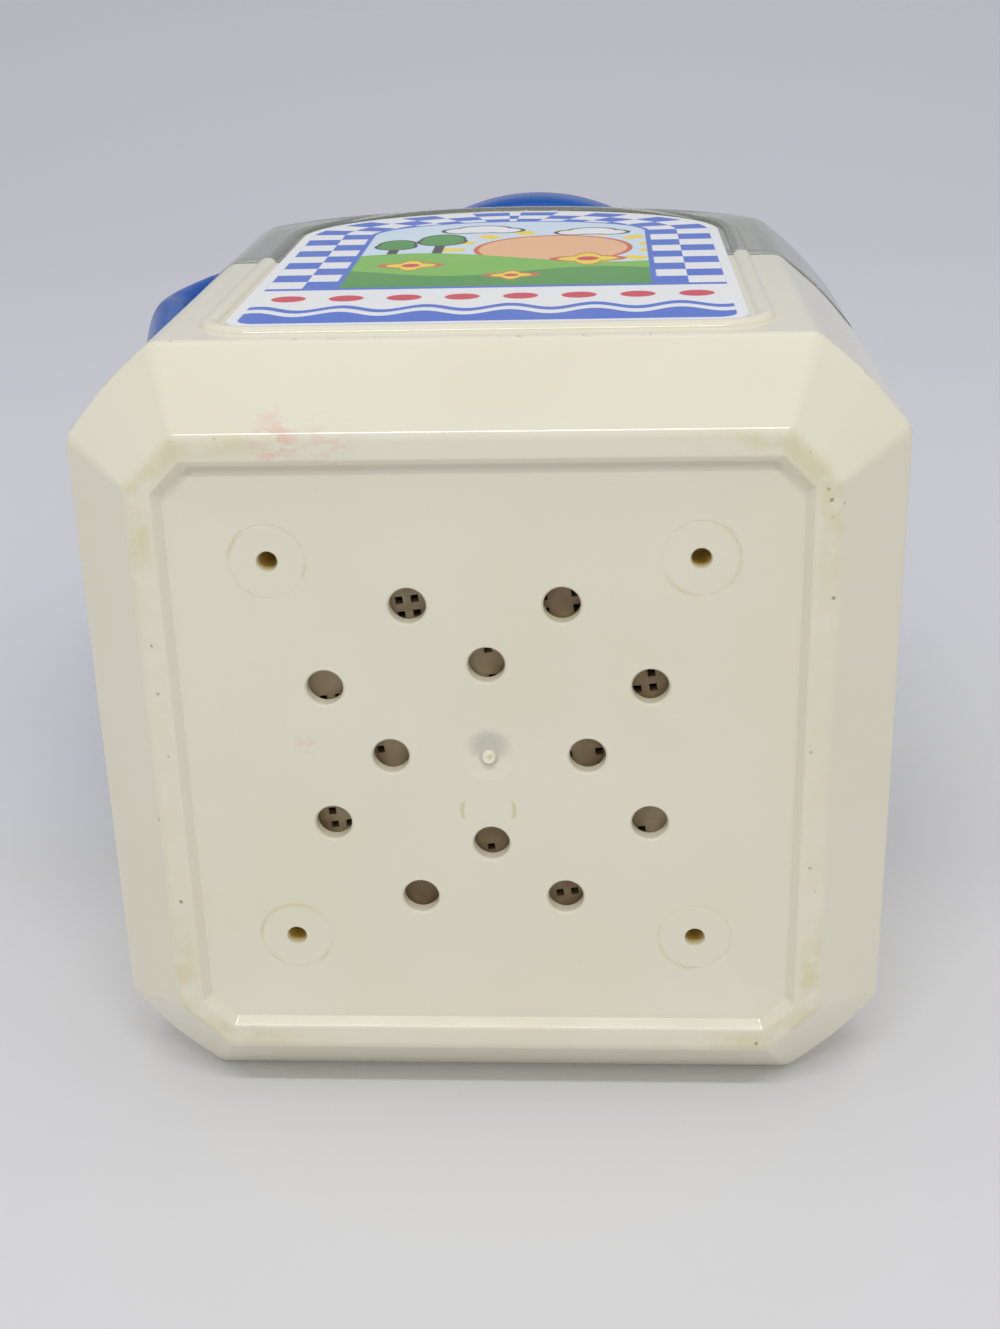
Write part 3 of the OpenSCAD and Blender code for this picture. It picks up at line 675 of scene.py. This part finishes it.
def clearFinish():
    f = Finish("clearPlastic", {"Transmission Weight": 0.86, "IOR": 1.46, "Specular IOR Level": 0.5})
    haze = f.noise(0.05, 3).step(0.3, 0.75)
    colour = haze.tint(ink(241, 243, 230), ink(234, 238, 221))
    scratch = f.noise(0.7, 4, 0.6, (0.15, 0.15, 2.2)).step(0.6, 0.75)
    rough = 0.09 + haze * 0.05 + scratch * 0.06
    return f.feed(Base_Color=colour, Roughness=rough, Normal=f.bump(f.noise(0.12, 1), 0.00012, 0.25))


dressed(makeTop(), clearFinish(), "bottle", "clear_top")
print("clear top made")


# paper label, with a farm morning printed on it

label = {"half": 34.0, "low": 17.0, "spring": 87.0, "rise": 23.8, "corner": 4.0, "thick": 0.25, "behind": 0.004,
         "margin": 1.5, "check": 5.2, "archChecks": 7.5, "band": 42.0, "rule": 1.4, "line": 0.8, "soft": 0.12}
picture = {"sun": (7.5, 72.0), "sunR": (("rust", 12.4), ("sun", 11.6)),
           "rays": 15, "rayIn": 13.8, "rayOut": 17.6,
           "clouds": ((-4.5, 91.5, 3.4), (13.5, 88.0, 3.0)), "trees": ((-17.5, 78.0, 3.6), (-10.5, 82.0, 4.4)),
           "flowers": ((13.0, 62.5, 4.6), (-13.5, 59.0, 3.8), (2.0, 50.0, 3.0)), "outline": 0.6, "trunk": 0.8,
           "bud": 2.1, "budZ": 34.5, "budGap": 8.0, "waveZ": 26.2, "waveHigh": 1.5, "waveLong": 11.3}
labelInk = {"paper": ink(246, 247, 248), "blue": ink(65, 110, 215), "green": ink(127, 196, 66),
            "deepGreen": ink(66, 154, 55), "sun": ink(248, 192, 141), "rust": ink(217, 97, 46),
            "yellow": ink(252, 226, 42), "dark": ink(46, 46, 53), "red": ink(219, 49, 74),
            "sky": ink(217, 235, 250)}


def makeLabel():
    b = label
    w, r, low = b["half"], b["corner"], b["low"]
    edge = []
    for middle, start in ((r - w, math.pi), (w - r, 1.5 * math.pi)):
        edge += [(middle + r * math.cos(a), low + r + r * math.sin(a))
                 for a in np.linspace(start, start + 0.5 * math.pi, 9)]
    edge += [(w * math.cos(a), b["spring"] + b["rise"] * math.sin(a)) for a in np.linspace(0, math.pi, 65)]
    n, front, back = len(edge), -body["half"] - b["thick"], -body["half"] - b["behind"]
    points = [(x, front, z) for x, z in edge] + [(x, back, z) for x, z in edge]
    faces = [tuple(range(n)), tuple(reversed(range(n, 2 * n)))]
    faces += [(k, n + k, n + (k + 1) % n, (k + 1) % n) for k in range(n)]
    return smoothed(newPiece("paper_label", points, faces), 30, False)


def labelFinish():
    f = Finish("labelPrint", {"Specular IOR Level": 0.45})
    b, pic, soft = label, picture, label["soft"]
    x, z, ax = f.x, f.z, abs(f.x)
    up = most(z - b["spring"], 0.0)

    def inside(inset, corner):      # the label's own shape, drawn in by inset
        w, h = b["half"] - inset, b["rise"] - inset
        arch = (1 - ((ax / w) ** 2 + (up / h) ** 2).calc("SQRT")) * (0.5 * (w + h))
        cx = most(ax - (w - corner), 0.0)
        cz = most(b["low"] + inset + corner - z, 0.0)
        return least(arch, corner - (cx ** 2 + cz ** 2).calc("SQRT")).step(-soft, soft)

    def disc(cx, cz, r, wide=1.0):
        return (r - (((x - cx) / wide) ** 2 + (z - cz) ** 2).calc("SQRT")).step(-soft, soft)

    def under(height):
        return (height - z).step(-soft, soft)

    # checks: two rows that follow the edge up the sides and over the arch
    size, margin = b["check"], b["margin"]
    ring = ((ax / (b["half"] - margin)) ** 2 + (up / (b["rise"] - margin)) ** 2).calc("SQRT")
    column = ((1 - ring) * (b["half"] - margin) / size).calc("FLOOR")
    turn = up.calc("ARCTAN2", ax * (b["rise"] / b["half"])) * (b["archChecks"] / (0.5 * math.pi))
    along = (z - b["band"]) / size
    row = (least(along, (b["spring"] - b["band"]) / size) + turn).calc("FLOOR")
    odd = ((column + row) * 0.5).calc("FRACT").step(0.2, 0.3)
    colour = odd.tint(labelInk["paper"], labelInk["blue"])

    # the picture: sky, sun, hills, clouds and flowers
    inner = margin + 2 * size
    view = labelInk["sky"]
    sunX, sunZ = pic["sun"]
    spoke = ((z - sunZ).calc("ARCTAN2", x - sunX) * (pic["rays"] / (2 * math.pi))).calc("FRACT")
    rays = disc(sunX, sunZ, pic["rayOut"]) - disc(sunX, sunZ, pic["rayIn"])
    rays = (0.22 - abs(spoke - 0.5)).step(-0.03, 0.03) * rays
    view = rays.tint(view, labelInk["yellow"])
    for tone, r in pic["sunR"]:
        view = disc(sunX, sunZ, r).tint(view, labelInk[tone])
    for cx, cz, r in pic["clouds"]:
        for grow, tone in ((pic["outline"], "dark"), (0.0, "paper")):
            puff = most(disc(cx, cz, r + grow, 1.25), disc(cx - r, cz - 1.2, 0.7 * r + grow, 1.2),
                        disc(cx + r, cz - 1.4, 0.65 * r + grow, 1.3))
            view = puff.tint(view, labelInk[tone])
    for cx, cz, r in pic["trees"]:
        trunk = least((pic["trunk"] - abs(x - cx)).step(-soft, soft), under(cz))
        view = trunk.tint(view, labelInk["dark"])
        for grow, tone in ((pic["outline"], "dark"), (0.0, "deepGreen")):
            crown = most(disc(cx, cz, r + grow, 0.75), disc(cx, cz - 2.0, 0.8 * r + grow))
            view = crown.tint(view, labelInk[tone])
    view = under(64.5 - 5 * ((x - 2) * 0.1).calc("SINE")).tint(view, labelInk["green"])
    view = under(53 + 3 * ((x - 4) * 0.15).calc("SINE")).tint(view, labelInk["deepGreen"])
    for cx, cz, r in pic["flowers"]:
        for grow, tone in ((pic["outline"], "rust"), (0.0, "yellow")):
            petals = most(disc(cx, cz, r + grow, 0.45), disc(cx, cz, 0.45 * r + grow, 2.2))
            view = petals.tint(view, labelInk[tone])
        view = disc(cx, cz, 0.36 * r).tint(view, labelInk["red"])
    colour = inside(inner - b["line"], 0.5).tint(colour, labelInk["blue"])
    colour = inside(inner, 0.5).tint(colour, view)

    # foot of the label: a white band with red buds over a blue wave
    foot = 1 - (z - b["band"]).step(-soft, soft)
    spot = ((x / pic["budGap"]).calc("FRACT") - 0.5) * pic["budGap"]
    bud = (pic["bud"] - ((spot / 1.15) ** 2 + (z - pic["budZ"]) ** 2).calc("SQRT")).step(-soft, soft)
    band = bud.tint(labelInk["paper"], labelInk["red"])
    wave = pic["waveZ"] + pic["waveHigh"] * (x * (2 * math.pi / pic["waveLong"])).calc("SINE")
    band = under(wave + 2.0).tint(band, labelInk["blue"])
    band = under(wave).tint(band, labelInk["paper"])
    band = under(wave - 2.2).tint(band, labelInk["blue"])
    band = (1 - (b["band"] - b["rule"] - z).step(-soft, soft)).tint(band, labelInk["blue"])
    colour = foot.tint(colour, band)

    colour = inside(margin, b["corner"] - margin).tint(labelInk["paper"], colour)
    aged = f.noise(0.06, 3).step(0.4, 0.75)
    colour = (aged * 0.1).tint(colour, cream["aged"])
    scuff = f.noise(0.9, 4, 0.6, (1, 1, 0.25)).step(0.7, 0.78)
    colour = (scuff * 0.5).tint(colour, labelInk["paper"])
    rough = 0.34 + aged * 0.1 + scuff * 0.2
    return f.feed(Base_Color=colour, Roughness=rough, Normal=f.bump(f.noise(1.6, 2), 0.00002, 0.3))


dressed(makeLabel(), labelFinish(), "bottle", "front_label")
print("label made")


# blue collar with its handle

handle = {"collarR": 44.0, "collarLow": 198.0, "collarHigh": 214.0, "collarRound": 5.0,
          "bore": 35.6, "boreLow": 180.0, "boreHigh": 225.0, "startX": 30.0, "strapZ": 206.0, "thick": 15.0,
          "rootX": 36.0, "rootW": 66.0, "bendW": 51.0, "footW": 26.0, "taper": 2, "bendR": 18.0, "lean": 12.0,
          "out": 81.5, "power": 2.3, "sides": 72, "padX": body["half"], "padZ": clearTop["rivetZ"],
          "padW": 32.0, "padH": 22.0, "padT": 3.0, "padEase": 0.6, "padSides": 64, "voxel": 0.8, "ease": 14}
rivet = {"low": -0.6, "shank": 2.5, "neck": 2.2, "headFoot": 4.0, "headTop": 3.6, "high": 3.7}


def strapLine():
    h = handle
    cx, cz = h["bendR"] - h["out"], h["strapZ"] - h["bendR"]
    lean = math.radians(h["lean"])
    line = [(-h["startX"] + (cx + h["startX"]) * k / 12, h["strapZ"]) for k in range(12)]
    line += [(cx + h["bendR"] * math.cos(a), cz + h["bendR"] * math.sin(a))
             for a in np.linspace(math.pi / 2, math.pi + lean, 20)]
    turned = len(line) - 1
    a = np.array(line[-1])
    drop = a[1] - h["padZ"]
    b = a + 0.55 * drop * np.array([math.sin(lean), -math.cos(lean)])
    c = np.array([-h["padX"] - 0.7 * (h["out"] - h["padX"]), h["padZ"]])
    d = np.array([-h["padX"] - 0.5, h["padZ"]])
    for t in np.linspace(0, 1, 40)[1:]:
        line.append(tuple((1 - t) ** 3 * a + 3 * t * (1 - t) ** 2 * b + 3 * t * t * (1 - t) * c + t ** 3 * d))
    return line, turned


def strapShape():
    h = handle
    line, turned = strapLine()
    rings = []
    for i, (x, z) in enumerate(line):
        if i <= turned:
            u = max(-x - h["rootX"], 0) / (h["out"] - h["rootX"])
            wide = h["rootW"] + (h["bendW"] - h["rootW"]) * u ** h["taper"]
        else:
            u = (i - turned) / (len(line) - 1 - turned)
            wide = h["bendW"] + (h["footW"] - h["bendW"]) * u
        ahead = Vector(line[min(i + 1, len(line) - 1)]) - Vector(line[max(i - 1, 0)])
        side = Vector((-ahead.y, ahead.x)).normalized()
        ring = []
        for a in np.linspace(0, 2 * math.pi, h["sides"], endpoint=False):
            c, s = math.cos(a), math.sin(a)
            across = math.copysign(abs(c) ** (2 / h["power"]), c) * wide / 2
            through = math.copysign(abs(s) ** (2 / h["power"]), s) * h["thick"] / 2
            ring.append((x + side.x * through, across, z + side.y * through))
        rings.append(ring)
    return stacked("handle_collar", rings, True)


def padShape():
    h = handle
    r = h["padH"] / 2 - h["padEase"]
    w, t = h["padW"] / 2 - r, h["padZ"]
    loop = [(w * (1 if abs(a) < math.pi / 2 else -1) + r * math.cos(a), t + r * math.sin(a) * 1.05)
            for a in np.linspace(-math.pi, math.pi, h["padSides"], endpoint=False)]
    back, front = -h["padX"] + 2, -h["padX"] - h["padT"]
    return stacked("pad", [[(x, y, z) for y, z in loop] for x in (back, front)], True)


def ontoPad(tool, x, y):            # from the axis to the pad, pointing inwards
    tool.data.transform(Matrix.Translation(Vector((x, y, handle["padZ"])) * mm)
                        @ Matrix.Rotation(math.pi / 2, 4, "Y"))
    return tool


def makeHandle():
    h, v = handle, rivet
    piece = strapShape()
    low, high, r = h["collarLow"], h["collarHigh"], h["collarR"]
    ring = roundPath([(5, low, 0), (r, low, h["collarRound"]), (r, high, h["collarRound"]), (5, high, 0)], 10)
    joined(piece, lathe("collar", [(0, low)] + ring + [(0, high)]), padShape())
    melt = piece.modifiers.new("melt", "REMESH")
    melt.mode, melt.voxel_size, melt.use_smooth_shade = "VOXEL", h["voxel"] * mm, True
    ease = piece.modifiers.new("ease", "SMOOTH")
    ease.factor, ease.iterations = 0.5, h["ease"]
    baked(piece)
    low, high, r = h["boreLow"], h["boreHigh"], h["bore"]
    shaped(piece, lathe("bore", [(0, low), (r, low), (r, high), (0, high)], 192), "DIFFERENCE", "MANIFOLD")
    face = ontoPad(lathe("face", [(0, 0), (40, 0), (40, 8), (0, 8)], 64), -h["padX"] - 0.02, 0)
    shaped(piece, face, "DIFFERENCE", "MANIFOLD")
    smoothed(piece, 35, False)
    line = roundPath([(0.1, v["low"], 0), (v["shank"], v["low"], 0), (v["shank"], v["neck"], 0),
                      (v["headFoot"], v["neck"] + 0.04, 0.2), (v["headTop"], v["headTop"], 0.9),
                      (0.1, v["high"], 0)], 4)
    for side in (-1, 1):
        stud = lathe("stud", [(0, v["low"])] + line + [(0, v["high"])], 40)
        joined(piece, smoothed(ontoPad(stud, -h["padX"], side * clearTop["rivetY"]), 35, False))
    return piece


def blueFinish():
    f = Finish("bluePlastic", {"Specular IOR Level": 0.3})
    cloud = f.noise(0.05, 3).step(0.3, 0.75)
    colour = cloud.tint(ink(0, 82, 174), ink(2, 92, 184))
    dust = f.noise(1.5, 4, 0.6).step(0.62, 0.8)
    colour = (dust * 0.06).tint(colour, ink(150, 176, 214))
    scratch = f.noise(0.8, 3, 0.6, (2.0, 0.2, 0.4)).step(0.62, 0.74)
    rough = 0.2 + cloud * 0.06 + dust * 0.12 + scratch * 0.1
    return f.feed(Base_Color=colour, Roughness=rough, Normal=f.bump(f.noise(1.4, 2), 0.00002, 0.3))


bluePlastic = blueFinish()
dressed(makeHandle(), bluePlastic, "bottle", "collar_handle")
print("handle made")


# push-in cap

cap = {"radius": 41.0, "low": 216.2, "rim": 221.2, "dome": 228.2, "plug": 33.0, "plugIn": 31.0,
       "plugLow": 202.2, "wall": 2.4, "sides": 144}


def makeCap():
    c = cap
    rise = c["dome"] - c["rim"]
    big = (c["radius"] ** 2 + rise ** 2) / (2 * rise)
    wide = math.asin(c["radius"] / big)
    middle = c["dome"] - big
    outer = [(big * math.sin(a), middle + big * math.cos(a), 0) for a in np.linspace(0.02, wide * 0.96, 24)]
    under = math.asin(c["plugIn"] / (big - c["wall"]))
    inner = [((big - c["wall"]) * math.sin(a), middle + (big - c["wall"]) * math.cos(a), 0)
             for a in np.linspace(under, 0.02, 14)]
    rimX, rimZ = big * math.sin(wide), middle + big * math.cos(wide)
    line = roundPath(outer + [(rimX, rimZ, 1.6), (rimX, c["low"], 0.8), (c["plug"], c["low"], 0.4),
                              (c["plug"], c["plugLow"], 0.7), (c["plugIn"], c["plugLow"], 0.6),
                              (inner[0][0], inner[0][1], 0.6)] + inner[1:], 6)
    line = [(0, c["dome"])] + line + [(0, c["dome"] - c["wall"])]
    return smoothed(lathe("push_cap", list(reversed(line)), c["sides"]), 35, False)


dressed(makeCap(), bluePlastic, "cap", "cap")
print("cap made")


# voice box: the grille behind the sound holes

grille = {"low": 4.6, "high": 6.2, "radius": 31.9, "skirtIn": 30.1, "skirtTop": 12.2,
          "pitch": 2.06, "turn": -7.5, "width": 1.02, "deep": 6.0, "shift": (-0.09, 0.25, 5.4),
          "cells": ((-4, -11), (-3, -11), (-4, -10), (-3, -10), (5, -10), (5, -9), (7, -10), (7, -9),
                    (-10, -5), (-9, -5), (11, -4), (10, -3), (11, -3), (11, -2), (1, -7), (1, -5), (-7, -1),
                    (5, 1), (7, 1), (7, 2), (-1, 7), (-11, 3), (-11, 4), (-10, 4), (9, 7), (3, 11), (4, 11))}


def makeGrille():
    g = grille
    line = roundPath([(0.1, g["low"], 0), (g["radius"], g["low"], 0.6), (g["radius"], g["skirtTop"], 0.4),
                      (g["skirtIn"], g["skirtTop"], 0.3), (g["skirtIn"], g["high"], 0.4),
                      (0.1, g["high"], 0)], 4)
    piece = lathe("voice_grille", [(0, g["low"])] + line + [(0, g["high"])], 96)
    pits = newPiece("pits", [(i / mm, j / mm, 0) for i, j in g["cells"]], [])
    pitsOnLattice.run(pits, {"Pitch": g["pitch"] * mm, "Turn": math.radians(g["turn"]),
                             "Width": g["width"] * mm, "Depth": g["deep"] * mm,
                             "Shift": tuple(c * mm for c in g["shift"])})
    return smoothed(shaped(piece, pits, "DIFFERENCE"), 35, False)


def dullFinish(name, tone, deep, rough, grain, metal=0.0):
    f = Finish(name, {"Specular IOR Level": 0.4, "Metallic": metal})
    cloud = f.noise(0.12, 4, 0.6).step(0.3, 0.7)
    speck = f.noise(3.0, 3, 0.6).step(0.58, 0.72)
    colour = (speck * 0.5).tint(cloud.tint(tone, deep), deep)
    skin = f.bump(f.noise(grain, 2), 0.00005, 0.4)
    return f.feed(Base_Color=colour, Roughness=rough + cloud * 0.12, Normal=skin)


canPlastic = dullFinish("canPlastic", ink(170, 155, 127), ink(130, 109, 80), 0.45, 2.0)
whitePlastic = dullFinish("whitePlastic", ink(226, 226, 220), ink(214, 212, 202), 0.4, 1.4)
brassStrip = dullFinish("brassStrip", ink(206, 172, 96), ink(188, 148, 78), 0.22, 3.0, 1.0)
springSteel = dullFinish("springSteel", ink(190, 190, 192), ink(166, 166, 168), 0.25, 3.0, 1.0)
castIron = dullFinish("castIron", ink(92, 94, 98), ink(70, 70, 72), 0.5, 0.8, 1.0)
dressed(makeGrille(), canPlastic, "bottle", "can_grille")
for mat, names in ((canPlastic, ("can_tube", "can_lid")),
                   (whitePlastic, ("sound_plate", "reed_block", "weight_carrier")),
                   (springSteel, ("reed_clip", "lower_cuff_ring", "upper_cuff_ring")),
                   (brassStrip, ("reed_tongue",)), (castIron, ("voice_weight",))):
    for name in names:
        painted(frame["nodes"][name], mat)
print("voice box made")


# soft pieces inside the voice box

bellowsSkin = {"low": 15.0, "high": 28.0, "cuff": 3.0, "cuffIn": 15.55, "cuffOut": 16.15, "valley": 17.35,
               "folds": 3, "depth": 6.0, "end": 0.1}
pads = {"felt_disc": (0, 18.0, 50.1, 51.6, 0.4),    # two radii, two heights, edge
        "foam_seal": (23.9, 31.9, 53.2, 57.6, 1.0)}


def makeBellows():
    s = bellowsSkin
    low, high = s["low"] + s["cuff"], s["high"] - s["cuff"]
    outer, inner = [], []
    for t in np.linspace(0, 1, 61):
        wave = (0.5 - 0.5 * math.cos(2 * math.pi * s["folds"] * t)) * s["depth"]
        wave += min(1.0, 8 * t, 8 * (1 - t)) * (s["valley"] - s["cuffOut"])
        outer.append((s["cuffOut"] + wave, low + (high - low) * t))
        inner.append((s["cuffIn"] + wave, low + (high - low) * t))
    for line, r in ((outer, s["cuffOut"]), (inner, s["cuffIn"])):
        line.insert(0, (r, s["low"] + s["end"]))
        line.append((r, s["high"] - s["end"]))
    return smoothed(lathe("bellows_skin", outer + list(reversed(inner)), 64), 60, False)


def makePad(name):                  # a disc, or a ring where it has an inner radius
    rIn, rOut, low, high, edge = pads[name]
    outside = [(rOut, low, edge), (rOut, high, edge)]
    if rIn:
        start = ((rIn + rOut) / 2, low, 0)
        line = roundPath([start] + outside + [(rIn, high, edge), (rIn, low, edge), start], 5)[:-1]
    else:
        line = [(0, low)] + roundPath([(0.1, low, 0)] + outside + [(0.1, high, 0)], 5) + [(0, high)]
    return smoothed(lathe(name, line, 72), 60, False)


rubber = dullFinish("bellowsRubber", ink(176, 148, 108), ink(150, 120, 84), 0.6, 2.4)
feltWool = dullFinish("feltWool", ink(150, 142, 110), ink(120, 112, 86), 0.95, 1.2)
foamGrey = dullFinish("foamGrey", ink(206, 206, 202), ink(170, 170, 166), 0.95, 0.9)
bellows = makeBellows()
bellows.data.materials.append(rubber)
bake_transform(bellows)
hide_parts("bellows")
felt = dressed(makePad("felt_disc"), feltWool, "bottle", "felt_pad")
foam = dressed(makePad("foam_seal"), foamGrey, "bottle", "foam_ring")
print("soft pieces made")


# stage: the table that the bottle lies on, and a floor for views of it standing

stage = {"table": 54.06, "bedHalf": (37.0, 42.0), "bedLow": (10.4, 13.0), "bedHigh": (82.0, 94.0),
         "near": -600.0, "far": 700.0, "wide": 3600.0, "curve": 1500.0, "tall": 2200.0,
         "floor": 900.0, "floorZ": -0.05, "mist": (-200.0, 900.0)}


def oneSided(name, near, far, bed=False):   # seen through from behind, and open under the bottle's back
    f = Finish(name, {"Roughness": 0.7, "Specular IOR Level": 0.2})
    mist = f.z.step(*stage["mist"])
    f.feed(Base_Color=mist.tint(near, far))
    behind = Sock(f.tree, f.tree.nodes.new("ShaderNodeNewGeometry").outputs["Backfacing"])
    if bed:
        t = stage
        hidden = (1 - abs(f.x).step(*t["bedHalf"])) * f.z.step(*t["bedLow"]) * (1 - f.z.step(*t["bedHigh"]))
        behind = most(behind, hidden)
    clear = behind.make("ShaderNodeBsdfTransparent")
    solid = Sock(f.tree, f.shader.outputs[0])
    mixed = behind.make("ShaderNodeMixShader", None, {0: behind, 1: solid, 2: clear})
    f.tree.links.new(mixed.socket, f.tree.nodes["Material Output"].inputs["Surface"])
    return f.mat


def makeStage():
    t = stage
    y, r = t["table"], t["curve"]
    line = [(y, t["near"])] + [(y - r + r * math.cos(a), t["far"] + r * math.sin(a))
                               for a in np.linspace(0, math.pi / 2, 24)] + [(y - t["tall"], t["far"] + r)]
    points = [(side * t["wide"] / 2, yy, z) for side in (-1, 1) for yy, z in line]
    n = len(line)
    table = newPiece("table", points, [(n + k, n + k + 1, k + 1, k) for k in range(n - 1)])
    table.data.shade_smooth()
    table.data.materials.append(oneSided("tablePaper", ink(230, 229, 231), ink(229, 229, 237), True))
    w, z = t["floor"], t["floorZ"]
    floor = newPiece("floor", [(-w, -w, z), (w, -w, z), (w, w, z), (-w, w, z)], [(0, 1, 2, 3)])
    floor.data.materials.append(oneSided("floorPaper", ink(238, 237, 238), ink(238, 237, 238)))
    for card in (table, floor):
        card.visible_shadow = False
    floor.visible_diffuse = floor.visible_glossy = floor.visible_transmission = False


lamps = {"window": ((15, -857, -514), (640, 50), 2.95), "over": ((30, -1000, 60), (700, 450), 0.85),
         "top": ((0, -700, 900), (800, 800), 0.35), "back": ((0, 1000, 500), (900, 900), 1.4)}
air = {"aim": (0, 0, 60), "colour": (0.97, 0.98, 1.0, 1.0), "strength": 0.555}


def makeLight():
    world = bpy.data.worlds.new("room")
    world.use_nodes = True
    glow = world.node_tree.nodes["Background"].inputs
    glow["Color"].default_value, glow["Strength"].default_value = air["colour"], air["strength"]
    scene.world = world
    for name, (spot, size, power) in lamps.items():
        data = bpy.data.lights.new(name, "AREA")
        data.shape, data.energy = "RECTANGLE", power
        data.size, data.size_y = size[0] * mm, size[1] * mm
        lamp = bpy.data.objects.new(name, data)
        lamp.location = Vector(spot) * mm
        lamp.rotation_mode = "QUATERNION"
        lamp.rotation_quaternion = (Vector(air["aim"]) - Vector(spot)).to_track_quat("-Z", "Y")
        scene.collection.objects.link(lamp)
    scene.view_settings.view_transform = "Standard"


makeStage()
makeLight()
print("stage lit")

bpy.context.view_layer.update()
